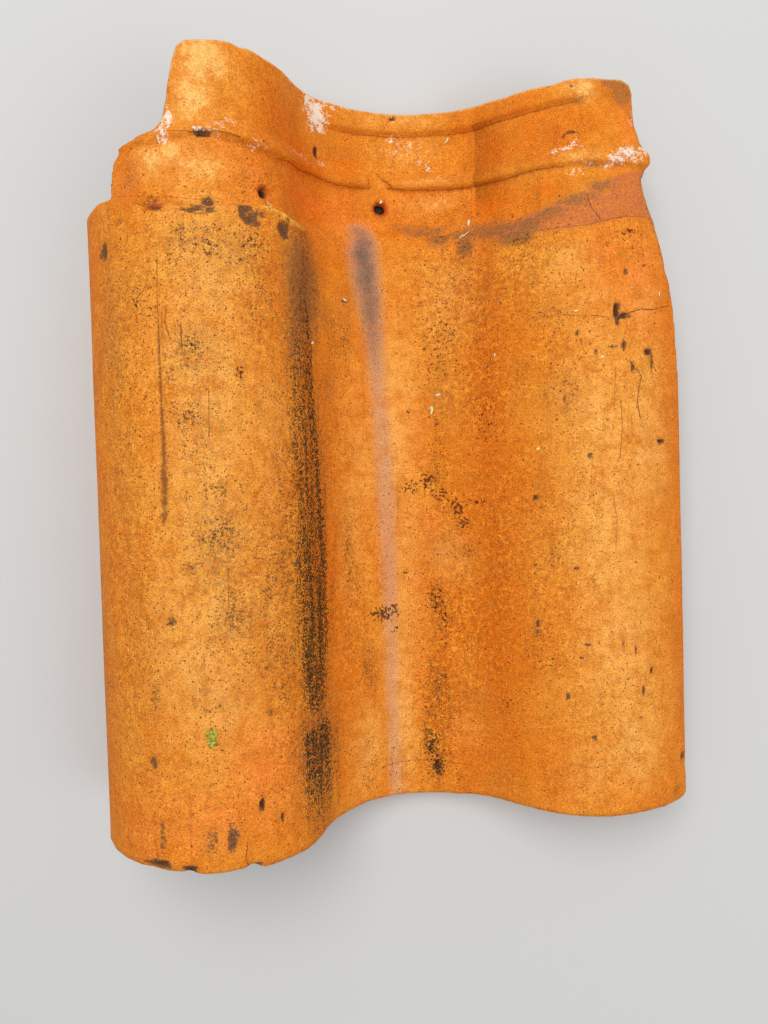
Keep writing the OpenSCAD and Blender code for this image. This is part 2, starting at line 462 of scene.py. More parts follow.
# Share of the weathering, painted light and painted shade that the walls keep
WALL_SHOWN = 0.4
GRID_MARGIN = 3.0
PINCH_ROUNDS = 6
# How far outside the outline a grid point may lie, before the rim is moved to the edge
RIM_SLACK = 0.3
RIM_ROUNDS = 4
RIM_PROBE = 0.2
RIM_REACH = 1.2
# How far the underside's own points start from the tile's ends and from the rims
UNDER_START = 4.0
UNDER_CLEAR = 3.0
JOIN_WITHIN = 1e-5


def to_edge(s, y):
    """Points of the rim moved onto the edge, in steps along the slope of the distance from it."""
    for _ in range(RIM_ROUNDS):
        gap = edge_distance(s, y)
        ds = (edge_distance(s + RIM_PROBE, y) - edge_distance(s - RIM_PROBE, y)) / (2 * RIM_PROBE)
        dy = (edge_distance(s, y + RIM_PROBE) - edge_distance(s, y - RIM_PROBE)) / (2 * RIM_PROBE)
        size = np.maximum(ds ** 2 + dy ** 2, 0.3)
        s = s - np.clip(gap * ds / size, -RIM_REACH, RIM_REACH)
        y = y - np.clip(gap * dy / size, -RIM_REACH, RIM_REACH)
    return np.maximum(s, 0), y


def grid_lines():
    """Columns across the tile and rows along it, closer where there is more to show."""
    skirt = np.arange(-GRID_MARGIN, SKIRT_COLUMNS_TO, SKIRT_COLUMN_STEP)
    seen = np.arange(SKIRT_COLUMNS_TO, S_EDGE + EDGE_SWELL + GRID_MARGIN, COLUMN_STEP)
    body = np.arange(-GRID_MARGIN, LAP_ROWS_FROM, BODY_ROW_STEP)
    lap = np.arange(LAP_ROWS_FROM, LENGTH + GRID_MARGIN, LAP_ROW_STEP)
    return np.concatenate([skirt, seen]), np.concatenate([body, lap])


def kept_grid():
    """Points of the grid with the rim moved to the edge, and which cells and points are kept."""
    s, y = np.meshgrid(*grid_lines(), indexing="ij")
    inside = edge_distance(s, y) > -RIM_SLACK
    cells = without_pinches(inside[:-1, :-1] & inside[1:, :-1] & inside[:-1, 1:] & inside[1:, 1:])
    padded = np.pad(cells, 1)
    around = [padded[:-1, :-1], padded[1:, :-1], padded[:-1, 1:], padded[1:, 1:]]
    touched = np.sum(around, axis=0)
    rim = (touched > 0) & (touched < 4)
    s[rim], y[rim] = to_edge(s[rim], y[rim])
    return s, y, cells, touched > 0


def without_pinches(cells):
    """Drops cells that meet the rest only at a corner."""
    cells = cells.copy()
    for _ in range(PINCH_ROUNDS):
        a, b, c, d = cells[:-1, :-1], cells[1:, :-1], cells[:-1, 1:], cells[1:, 1:]
        first = a & d & ~b & ~c
        second = b & c & ~a & ~d
        if not (first.any() or second.any()):
            break
        cells[1:, 1:][first] = False
        cells[:-1, 1:][second] = False
        filled = np.pad(cells, 1).astype(int)
        sides = filled[:-2, 1:-1] + filled[2:, 1:-1] + filled[1:-1, :-2] + filled[1:-1, 2:]
        cells &= sides >= 2
    return cells


def rim_loops(faces):
    """Closed rows of points round the skin's rims, with the skin on their left."""
    follow = {}
    edges = set()
    for f in faces:
        for a, b in zip(f, np.roll(f, -1)):
            edges.add((int(a), int(b)))
    for a, b in edges:
        if (b, a) not in edges:
            follow[a] = b
    loops = []
    while follow:
        start = next(iter(follow))
        loop = [start]
        here = follow.pop(start)
        while here != start:
            loop.append(here)
            here = follow.pop(here)
        loops.append(loop)
    return sorted(loops, key=len, reverse=True)


def under_height(s, y):
    """Height of the plain underside above the wave's lower surface."""
    return 0.25 + 0.25 * rough(s, y, 50, 90, 71)


class Skin:
    """Points as s, y, height and share of weathering, and the faces between them."""

    def __init__(self):
        self.points = np.empty((0, 4))
        self.faces = []

    def add(self, s, y, h, shown):
        """Adds points and gives their numbers."""
        first = len(self.points)
        self.points = np.vstack([self.points, np.column_stack([s, y, h, np.full(len(s), shown)])])
        return list(range(first, len(self.points)))


def add_top(skin):
    """The upper surface. Gives the loops of points round its rims."""
    s, y, cells, used = kept_grid()
    number = np.full(used.shape, -1)
    number[used] = skin.add(s[used], y[used], skin_height(s[used], y[used]), 1.0)
    i, j = np.nonzero(cells)
    corners = [number[i, j], number[i + 1, j], number[i + 1, j + 1], number[i, j + 1]]
    faces = np.stack(corners, axis=1)
    skin.faces += [tuple(face) for face in faces.tolist()]
    return rim_loops(faces)


def add_wall(skin, loop):
    """Rings of points from a rim down to the underside's rounding. Gives the lowest ring."""
    s, y, h = skin.points[loop, :3].T
    end = -THICKNESS + UNDER_ROUND
    ring = loop
    for k in range(1, WALL_RINGS + 1):
        t = k / WALL_RINGS
        lower = skin.add(s, y, h * (1 - t) + end * t, WALL_SHOWN)
        for a in range(len(loop)):
            b = (a + 1) % len(loop)
            skin.faces.append((ring[b], ring[a], lower[a], lower[b]))
        ring = lower
    return ring


def rim_edges(rims):
    """Pairs that close each rim, with the rims' points counted in a row."""
    edges = []
    for rim in rims:
        base = len(edges)
        edges += [(base + k, base + (k + 1) % len(rim)) for k in range(len(rim))]
    return edges


def under_places():
    """Places for the underside's own points, clear of the rims."""
    columns = np.arange(UNDER_START, S_EDGE, UNDER_STEP)
    rows = np.arange(UNDER_START, LENGTH, UNDER_STEP)
    s, y = np.meshgrid(columns, rows, indexing="ij")
    deep = edge_distance(s, y) > UNDER_CLEAR
    return list(zip(s[deep], y[deep]))


def add_underside(skin, rims):
    """Triangles between the walls' lowest rings. The second rim is the nail hole's, which stays open."""
    rim = [n for ring in rims for n in ring]
    places = [tuple(place) for place in skin.points[rim, :2]] + under_places()
    places = [(float(s), float(y)) for s, y in places]
    points, _, triangles, origins = delaunay_2d_cdt(places, rim_edges(rims), [], 1, JOIN_WITHIN)[:4]
    known = [[n for n in origin if n < len(rim)] for origin in origins]
    names = {k: rim[found[0]] for k, found in enumerate(known) if found}
    inner = [k for k, found in enumerate(known) if not found]
    s = np.array([points[k][0] for k in inner])
    y = np.array([points[k][1] for k in inner])
    names.update(zip(inner, skin.add(s, y, -THICKNESS + under_height(s, y), 0.0)))
    hole = set(rims[1])
    for a, b, c in triangles:
        if not {names[a], names[b], names[c]} <= hole:
            skin.faces.append((names[a], names[c], names[b]))


def build_skin():
    """The whole tile's skin: upper surface, walls and underside."""
    skin = Skin()
    rims = [add_wall(skin, loop) for loop in add_top(skin)]
    add_underside(skin, rims)
    return skin


# Weathering and painted light and shade, as amounts from 0 to about 1 at each point of the skin. Lines give
# pixel, half width and amount, and patches give pixel, half sizes across and along, and amount, with sizes as
# seen from above

LICHEN_BAND = [
    (303, 236, 4, 0.46), (303, 290, 6, 0.56), (302, 335, 8.5, 0.64), (302, 380, 9.5, 0.68),
    (303, 430, 10, 0.7), (306, 480, 10.4, 0.74), (308, 530, 10.4, 0.78), (311, 600, 10, 0.84),
    (313, 650, 9.4, 0.88), (316, 700, 7.6, 0.92), (320, 718, 3.8, 0.55), (317, 735, 10, 0.9),
    (319, 762, 11, 0.9), (321, 790, 10, 0.84), (322, 815, 9, 0.64), (320, 838, 8, 0.5),
]
LICHEN_CORE = [
    (306, 300, 2, 0.66), (309, 360, 2.6, 0.84), (313, 430, 3, 0.86), (319, 500, 3.2, 0.88),
    (322, 560, 3.6, 0.9), (321, 620, 5, 0.96), (319, 690, 4.6, 0.92), (320, 712, 2.4, 0.7),
]
LILAC_BAND = [
    (359, 238, 8, 0.8), (363, 256, 9, 1.05), (368, 290, 8, 0.95), (374, 335, 6, 0.85),
    (379, 400, 5.4, 0.62), (384, 460, 6.4, 0.65), (387, 520, 6.4, 0.65), (390, 600, 5.4, 0.6),
    (392, 680, 5, 0.55), (395, 760, 5, 0.55), (397, 794, 5, 0.5),
]
LICHEN_PATCHES = [
    (292, 450, 9, 60, 0.46), (292, 560, 10, 50, 0.5), (285, 640, 12, 30, 0.48), (270, 600, 12, 50, 0.38),
    (440, 612, 7, 24, 0.58), (437, 700, 8, 40, 0.6), (440, 455, 10, 30, 0.46), (276, 560, 5, 6, 0.56),
    (268, 588, 6, 5, 0.56), (250, 655, 5, 6, 0.52), (262, 672, 5, 4, 0.54), (206, 712, 4, 4, 0.5),
    (218, 710, 3, 3, 0.5), (200, 655, 5, 6, 0.44), (272, 712, 5, 4, 0.46), (302, 726, 6, 4, 0.52),
    (215, 537, 11, 9, 0.6), (228, 530, 6, 7, 0.6), (192, 571, 3, 4.5, 0.6), (236, 618, 7, 10, 0.58),
    (232, 595, 5, 8, 0.46), (206, 645, 6, 6, 0.5), (270, 644, 4, 7, 0.58), (290, 679, 4, 4, 0.6),
    (285, 690, 10, 10, 0.48), (154, 696, 2.6, 7, 0.58), (154, 762, 2.4, 4, 0.56), (205, 495, 6, 6, 0.46),
    (226, 490, 6, 6, 0.46), (181, 232, 6, 6, 0.56), (172, 256, 5, 7, 0.46), (210, 240, 4, 9, 0.56),
    (140, 295, 6, 10, 0.5), (136, 285, 2.6, 3.4, 0.6), (150, 318, 3, 6, 0.5), (253, 243, 5, 9, 0.58),
    (250, 306, 4, 8, 0.56), (258, 300, 8, 22, 0.42), (222, 226, 3, 3, 0.56), (246, 276, 3, 8, 0.48),
    (239, 372, 4, 4, 0.56), (270, 395, 6, 6, 0.48), (190, 350, 4, 12, 0.46), (170, 372, 6, 10, 0.46),
    (186, 420, 7, 8, 0.46), (204, 455, 8, 8, 0.42), (338, 342, 8, 16, 0.48), (347, 545, 3, 18, 0.56),
    (352, 575, 4, 14, 0.48), (356, 590, 8, 14, 0.4), (370, 668, 6, 18, 0.52), (440, 368, 4, 12, 0.52),
    (433, 595, 5, 15, 0.6), (441, 612, 4, 6, 0.66), (425, 574, 3.4, 3.4, 0.62), (432, 745, 7, 17, 0.8),
    (438, 766, 6, 9, 0.88), (426, 727, 4, 8, 0.66), (445, 676, 3, 3, 0.66), (424, 680, 2.4, 4.5, 0.62),
    (455, 711, 4.5, 4, 0.56), (477, 703, 2.4, 3, 0.58), (500, 707, 4, 5, 0.52),
    (369, 741, 3.4, 3.4, 0.66), (371, 780, 3.6, 3, 0.6), (462, 777, 3, 5, 0.6), (372, 760, 8, 9, 0.4),
    (469, 552, 5, 5, 0.5), (554, 555, 7, 8, 0.38), (545, 535, 6, 6, 0.38), (566, 390, 10, 14, 0.36),
    (546, 312, 8, 8, 0.44), (524, 380, 6, 16, 0.44), (544, 392, 6, 8, 0.46), (563, 774, 4.5, 5, 0.56),
    (522, 785, 3, 3, 0.44), (463, 246, 5, 6, 0.6), (440, 240, 6, 4, 0.54), (520, 240, 7, 5, 0.62),
    (462, 258, 4, 5, 0.48), (558, 660, 12, 14, 0.34), (678, 790, 5, 3, 0.54), (684, 592, 2, 3, 0.6),
    (672, 580, 2.4, 3, 0.46),
]
# Close groups of reddish black dots
CLUSTERS = [
    (383, 614, 10, 6, 1), (394, 608, 3.6, 5, 1), (396, 630, 3.6, 4, 0.75), (410, 488, 9, 4.5, 0.8),
    (428, 480, 6, 7, 0.95), (440, 494, 8, 5, 0.85), (457, 508, 5, 8, 0.95), (463, 524, 5, 6, 0.9),
    (478, 502, 7, 3.5, 0.75), (437, 600, 7, 12, 0.7), (446, 620, 5, 6, 0.75), (443, 640, 6, 12, 0.5),
    (404, 574, 5, 2.4, 0.6), (172, 622, 5, 3.4, 0.6), (510, 702, 7, 4, 0.6), (545, 662, 12, 6, 0.5),
    (428, 712, 4, 5, 0.7), (437, 760, 10, 16, 0.6), (629, 232, 9, 3, 0.8), (300, 500, 9, 40, 0.35),
    (440, 340, 14, 24, 0.55), (432, 360, 6, 16, 0.55), (484, 420, 10, 22, 0.45), (252, 250, 10, 14, 0.6),
    (205, 245, 14, 12, 0.5), (142, 300, 10, 20, 0.5), (188, 345, 7, 12, 0.55), (184, 415, 10, 8, 0.6),
    (240, 372, 4, 4, 0.75), (395, 163, 10, 6, 0.25),
]
# Grey-brown film of dirt
FILM_PATCHES = [
    (405, 229, 12, 4, 0.6), (425, 233, 18, 4.4, 0.8), (440, 242, 8, 4, 1), (465, 246, 5, 8, 1),
    (470, 234, 18, 4.5, 0.86), (515, 236, 12, 5, 1.1), (500, 232, 14, 5, 1), (530, 226, 10, 5, 0.95),
    (548, 214, 11, 4.5, 0.84), (488, 300, 12, 30, 0.36), (460, 280, 16, 20, 0.34), (302, 285, 9, 36, 1),
    (324, 318, 9, 16, 0.5), (348, 300, 8, 30, 0.4), (350, 155, 10, 9, 0.3), (250, 176, 9, 9, 0.34),
    (368, 330, 9, 30, 0.46), (575, 200, 13, 4.5, 0.84), (602, 186, 12, 4.5, 0.74),
    (592, 165, 8, 2.5, 0.6), (545, 312, 14, 14, 0.4), (566, 395, 14, 20, 0.44), (545, 480, 14, 40, 0.3),
    (440, 545, 20, 18, 0.4), (430, 560, 10, 8, 0.4), (440, 400, 14, 24, 0.4), (297, 340, 8, 30, 0.7),
    (330, 385, 7, 24, 0.46), (322, 450, 6, 60, 0.46), (300, 420, 10, 60, 0.4), (282, 500, 12, 50, 0.34),
    (280, 580, 16, 60, 0.34), (275, 665, 16, 26, 0.4), (255, 600, 16, 50, 0.26), (318, 745, 14, 40, 0.6),
    (300, 330, 12, 50, 0.44), (265, 300, 12, 40, 0.3), (345, 330, 8, 26, 0.44), (205, 270, 22, 22, 0.36),
    (190, 238, 26, 12, 0.46), (235, 250, 16, 18, 0.46), (112, 330, 9, 60, 0.46), (110, 640, 9, 90, 0.42),
    (195, 350, 22, 24, 0.48), (200, 430, 24, 30, 0.4), (220, 545, 24, 34, 0.5), (235, 620, 20, 20, 0.48),
    (225, 690, 26, 22, 0.38), (125, 300, 14, 40, 0.36), (120, 470, 8, 60, 0.36), (150, 640, 20, 60, 0.32),
    (130, 560, 10, 90, 0.36), (155, 700, 6, 16, 0.48), (130, 180, 7, 12, 0.5), (362, 205, 10, 12, 0.3),
    (405, 210, 10, 8, 0.26), (440, 735, 14, 16, 0.3), (470, 700, 20, 14, 0.3), (676, 640, 4, 20, 0.36),
    (680, 700, 4, 20, 0.36), (665, 800, 12, 4, 0.42), (530, 800, 14, 3, 0.4), (232, 838, 8, 10, 0.4),
    (206, 840, 7, 12, 0.36), (345, 540, 8, 40, 0.36), (372, 670, 8, 22, 0.44),
]
LIME_PATCHES = [
    (167, 118, 3, 5.4, 0.84), (163, 128, 3.6, 4.6, 0.92), (161, 138, 3, 4, 0.8), (309, 99, 3.6, 5.6, 0.9),
    (314, 108, 5.2, 6.6, 1), (317, 119, 5, 6.4, 0.92), (320, 128, 3.4, 4.4, 0.76), (313, 122, 3, 7, 0.7),
    (334, 104, 9, 3.4, 0.58), (300, 84, 6, 3.4, 0.56), (287, 74, 5, 3, 0.5), (325, 104, 8, 4, 0.55),
    (626, 155, 8.4, 4.6, 0.95), (615, 160, 6, 3.8, 0.82), (640, 152, 5, 4, 0.72), (608, 166, 4, 2, 0.66),
    (561, 150, 6.6, 1.6, 0.88), (553, 153, 3, 1.6, 0.72), (575, 144, 7, 4, 0.44), (584, 162, 7, 1.6, 0.6),
    (226, 121, 6, 3, 0.54), (216, 130, 6, 3, 0.54), (198, 131, 4, 2, 0.7), (250, 146, 6, 3, 0.44),
    (320, 165, 3, 2.4, 0.54), (300, 158, 6, 3, 0.4), (403, 150, 12, 6, 0.48), (392, 142, 7, 3.6, 0.48),
    (420, 160, 8, 4, 0.44), (430, 170, 2, 2.4, 0.66), (268, 204, 1.4, 2.6, 0.9), (575, 172, 8, 3, 0.44),
    (632, 120, 2, 8, 0.46),
]
# Places with paler, apricot clay, and painted light as long strips along the crests of both rolls
PALE_CLAY_AND_CREST_LIGHT_PATCHES = [
    (205, 270, 22, 40, 0.85), (205, 380, 24, 60, 0.8), (205, 480, 24, 60, 0.78), (200, 640, 26, 60, 0.85),
    (215, 700, 20, 30, 0.75), (200, 62, 14, 14, 1), (190, 95, 12, 16, 0.8), (190, 165, 22, 12, 0.62),
    (150, 160, 9, 9, 0.8), (172, 150, 8, 5, 0.8), (568, 262, 14, 12, 0.62), (600, 340, 16, 26, 0.46),
    (600, 430, 20, 50, 0.8), (644, 440, 14, 50, 0.8), (640, 310, 10, 20, 0.4), (592, 300, 12, 16, 0.4),
    (270, 440, 10, 50, 0.45), (262, 590, 10, 40, 0.45), (610, 530, 24, 60, 0.85), (620, 640, 24, 60, 0.8),
    (635, 740, 16, 26, 0.85), (600, 770, 20, 20, 0.5), (395, 420, 14, 60, 0.75), (405, 560, 10, 60, 0.6),
    (402, 700, 8, 60, 0.95), (360, 460, 9, 60, 0.45), (355, 540, 9, 40, 0.4), (368, 750, 9, 26, 0.7),
    (445, 300, 16, 24, 0.5), (450, 560, 12, 14, 0.5), (470, 730, 10, 14, 0.3), (400, 125, 24, 4, 0.5),
    (405, 155, 18, 7, 0.3), (430, 183, 18, 3, 0.6), (430, 205, 16, 8, 0.44), (580, 90, 9, 5, 0.9),
    (580, 156, 14, 3, 0.6),
]
# Places with deeper orange clay, and painted shade as long strips down the rolls' flanks and along the side
# edges
DEEP_CLAY_AND_FLANK_SHADE_PATCHES = [
    (105, 420, 10, 170, 0.45), (112, 700, 12, 130, 0.55), (275, 120, 12, 22, 1), (265, 160, 12, 14, 0.6),
    (300, 160, 12, 16, 1), (305, 200, 12, 12, 1), (345, 160, 10, 14, 0.8), (490, 150, 14, 12, 1),
    (540, 135, 22, 14, 0.85), (510, 112, 20, 6, 0.6), (490, 205, 14, 9, 1), (545, 190, 14, 8, 0.9),
    (490, 420, 12, 90, 0.8), (500, 600, 18, 110, 1), (440, 650, 12, 60, 0.8), (420, 600, 7, 60, 0.7),
    (470, 740, 22, 40, 0.8), (550, 760, 18, 30, 0.5), (674, 420, 8, 130, 0.7), (682, 640, 8, 100, 0.8),
    (668, 300, 6, 40, 0.9), (330, 500, 8, 110, 0.6), (345, 660, 10, 60, 0.7), (272, 280, 6, 24, 0.7),
    (276, 470, 7, 60, 0.36),
]
# Places where the clay is redder
RED_PATCHES = [
    (215, 820, 34, 18, 0.8), (265, 770, 18, 26, 0.95), (250, 740, 16, 14, 0.6), (150, 840, 14, 20, 0.6),
    (620, 250, 22, 22, 0.62), (600, 290, 22, 22, 0.5), (638, 275, 14, 30, 0.9), (640, 240, 10, 10, 0.6),
    (608, 320, 8, 10, 0.5), (645, 320, 14, 14, 0.55), (630, 125, 8, 16, 0.7), (625, 190, 12, 12, 0.6),
    (340, 215, 24, 12, 0.55), (255, 178, 14, 10, 0.45), (385, 209, 5, 6, 1), (130, 178, 8, 12, 0.5),
    (200, 150, 24, 8, 0.35), (330, 240, 14, 14, 0.4), (425, 530, 8, 14, 0.6), (470, 240, 22, 10, 0.3),
]
# Where dark specks lie close together
SPECK_PATCHES = [
    (455, 300, 30, 50, 1), (470, 390, 28, 40, 0.9), (440, 500, 28, 40, 0.7), (460, 620, 30, 60, 0.75),
    (500, 560, 20, 60, 0.75), (440, 700, 14, 60, 0.95), (520, 270, 30, 30, 0.95), (180, 260, 44, 40, 0.8),
    (125, 400, 20, 120, 0.72), (250, 300, 26, 60, 0.75), (200, 380, 44, 60, 0.7), (215, 560, 50, 90, 0.8),
    (140, 600, 26, 120, 0.75), (200, 780, 50, 40, 0.5), (290, 600, 20, 120, 0.8),
    (350, 560, 14, 120, 0.55), (560, 330, 26, 50, 0.65), (555, 560, 30, 90, 0.65),
    (610, 690, 40, 60, 0.45), (630, 240, 16, 14, 0.6), (380, 760, 24, 24, 0.5), (510, 250, 26, 14, 0.8),
    (410, 160, 14, 10, 0.3), (620, 450, 30, 60, 0.3),
]
BROWN_PATCHES = [
    (622, 92, 7, 9, 1), (616, 84, 9, 5, 0.95), (608, 82, 6, 4, 0.9), (628, 108, 4, 8, 0.5),
    (578, 102, 7, 2.5, 0.6),
]
# Rusty clay round the nail's hole and two broken places
RUST_PATCHES = [
    (380, 209, 4.2, 4.8, 1.1), (263, 191, 3.6, 3, 0.8), (154, 207, 6, 2.6, 0.8),
]
# Hair lines, and painted shade lines under the ribs' lower edges and along the step's foot and crest: how
# strong, and the line's pixels
CRACKS_AND_SHADE_LINES = [
    (0.55, [(566, 315), (580, 316), (592, 315), (604, 317)]),
    (0.90, [(624, 314), (632, 312), (641, 309), (652, 310), (663, 307)]),
    (0.90, [(632, 364), (641, 376), (638, 392), (637, 402), (639, 414)]),
    (0.60, [(621, 405), (622, 430), (620, 455)]),
    (0.55, [(615, 372), (614, 402)]),
    (0.45, [(631, 420), (632, 432)]),
    (0.50, [(614, 500), (617, 520), (616, 545)]),
    (0.55, [(208, 380), (209, 405), (209, 432)]),
    (0.85, [(166, 312), (165, 322), (168, 332)]),
    (0.80, [(181, 328), (182, 348)]),
    (0.60, [(195, 338), (195, 352)]),
    (0.60, [(157, 262), (157, 296), (159, 345)]),
    (0.45, [(382, 768), (395, 763), (412, 760), (440, 761), (462, 764)]),
    (0.30, [(574, 765), (590, 768), (640, 760)]),
    (0.80, [(247, 848), (246, 858), (249, 866)]),
    (0.75, [(588, 199), (590, 210), (597, 222)]),
    (0.80, [(388, 124), (394, 118)]),
    (0.55, [(228, 572), (229, 604)]),
    (0.70, [(565, 134), (570, 130), (575, 132)]),
    # The next line: painted shade along the step's foot on the cover roll
    (0.30, [(112, 198), (150, 197), (185, 198), (215, 202)]),
    (0.65, [(178, 204), (186, 211), (200, 214), (212, 212)]),
    (0.65, [(142, 206), (152, 208), (160, 202)]),
    # The next five lines: painted shade under the ribs' lower edges and along the stop rib's slanted end
    (0.60, [(172, 133), (190, 133), (204, 136), (214, 133), (232, 138)]),
    (0.45, [(275, 159), (308, 174), (329, 184), (350, 188), (367, 189)]),
    (0.48, [(390, 190), (431, 191), (470, 188), (503, 181), (535, 171), (560, 167)]),
    (0.55, [(378, 176), (386, 184), (392, 190)]),
    (0.42, [(345, 133), (372, 136), (431, 136), (470, 132), (503, 121), (535, 112), (575, 102)]),
    # The next two lines: painted shade along the step's crest on the side roll
    (0.45, [(590, 224), (612, 221), (628, 219), (642, 221), (653, 228)]),
    (0.35, [(538, 230), (565, 227), (592, 224)]),
    (0.45, [(155, 838), (160, 866)]),
    (0.50, [(648, 354), (652, 372)]),
]
OLIVE_EDGE_TOP = (474, 122)
OLIVE_EDGE_LOW = (474, 203)
OLIVE_REACH = 13.0
# The lilac streak is dulled by grey dirt from the first place up, and wholly from the second
DULL_FROM = (378, 420)
DULL_WHOLE = (366, 290)
# Share of the lichen's amounts that the skin takes
LICHEN_SHARE = 0.8
# Widest reach of each hair line and painted shade line, and the span by which its signed distance is packed
# between 0 and 1
CRACK_AND_SHADE_REACH = 9.0
CRACK_AND_SHADE_PACK = 20.0
# Largest amount that a point keeps
MOST = 1.2
# How far in from the edges the clay is rubbed pale
RIM_WEAR_W = 1.3


def patches(s, y, marks):
    """Marks laid over each other, each at most its own amount."""
    total = np.zeros(np.shape(s))
    for u, v, across, along, amount in marks:
        total = np.maximum(total, amount * spot(s, y, u, v, across, along))
    return total


def olive_stain(s, y):
    """A stain with a sharp side, fading away from it."""
    edge_s, top_y = on_tile(*OLIVE_EDGE_TOP)
    low_y = on_tile(*OLIVE_EDGE_LOW)[1]
    side = smooth(-0.6, 0.6, s - edge_s) * np.exp(-np.clip(s - edge_s, 0, None) / OLIVE_REACH)
    span = smooth(low_y - 3, low_y + 3, y) * (1 - smooth(top_y - 6, top_y + 2, y))
    return side * span * (0.75 + 0.4 * rough(s, y, 9, 9, 91))


def step_slope(s, y):
    """Where the step's long slope lies, on the side roll."""
    crest, toe = step_lines(s)
    inside = smooth(-0.5, 1.0, toe - y) * smooth(-1.0, 1.5, y - crest)
    return inside * smooth(30, 60, wave(s)[0])


def crack_and_shade_field(s, y):
    """Signed distance in millimetres from the nearest of the hair lines and painted shade lines, and that
    line's strength there.
    """
    x = wave(s)[0]
    near = np.full(np.shape(s), FAR)
    signed = np.full(np.shape(s), CRACK_AND_SHADE_REACH)
    strength = np.zeros(np.shape(s))
    for amount, pixels in CRACKS_AND_SHADE_LINES:
        places = [plan_place(*pixel) for pixel in pixels]
        for a, b in zip(places[:-1], places[1:]):
            way = b - a
            gap = from_line(x, y, a, b)[1]
            side = ((x - a[0]) * way[1] - (y - a[1]) * way[0]) / math.hypot(*way)
            closer = gap < near
            near = np.where(closer, gap, near)
            signed = np.where(closer, np.clip(side, -CRACK_AND_SHADE_REACH, CRACK_AND_SHADE_REACH), signed)
            strength = np.where(closer, amount * (1 - smooth(2.0, 3.2, gap)), strength)
    return signed, strength


def weathering_and_painted_light(s, y):
    """Every amount that the clay's material reads, four to a name."""
    band = np.maximum(streak(s, y, LICHEN_BAND), streak(s, y, LICHEN_CORE))
    lichen = LICHEN_SHARE * np.maximum(band, patches(s, y, LICHEN_PATCHES))
    lilac = streak(s, y, LILAC_BAND)
    dulled = smooth(on_tile(*DULL_FROM)[1], on_tile(*DULL_WHOLE)[1], y)
    exposed = 1 - smooth(-2.0, 1.5, y - step_lines(s)[0])
    rim = np.exp(-np.maximum(edge_distance(s, y), 0) / RIM_WEAR_W)
    wear = rim * (0.25 + 0.75 * smooth(370, 390, y))
    # Hair lines together with the painted shade lines under the ribs and along the step
    crack_and_shade_side, crack_and_shade_strength = crack_and_shade_field(s, y)
    crack_and_shade_side = crack_and_shade_side / CRACK_AND_SHADE_PACK + 0.5
    # Pale and deep amounts hold clay tone together with painted light along the crests and painted shade down
    # the flanks
    film, lime, pale, deep, specks, brown, red, clusters, rust = [
        patches(s, y, marks) for marks in
        (FILM_PATCHES, LIME_PATCHES, PALE_CLAY_AND_CREST_LIGHT_PATCHES, DEEP_CLAY_AND_FLANK_SHADE_PATCHES, SPECK_PATCHES, BROWN_PATCHES, RED_PATCHES,
         CLUSTERS, RUST_PATCHES)]
    unused = np.zeros(np.shape(s))
    return {
        "stain_a": (lichen, film, lilac, lime),
        "stains_light_and_shade_b": (pale, deep, specks, scars(s, y)[1]),
        "stain_c": (brown, olive_stain(s, y), step_slope(s, y), red),
        "stain_d": (streak(s, y, GROOVE), streak(s, y, RIDGE), dulled, exposed),
        "stains_and_shade_lines_e": (clusters, crack_and_shade_strength, crack_and_shade_side, wear),
        "stain_f": (rust, unused, unused, unused),
    }


# Materials

def tint(r, g, b):
    """A colour written as it shows on a screen, as the shader takes it."""
    parts = [c / 255 for c in (r, g, b)]
    return tuple(c / 12.92 if c <= 0.04045 else ((c + 0.055) / 1.055) ** 2.4 for c in parts) + (1.0,)


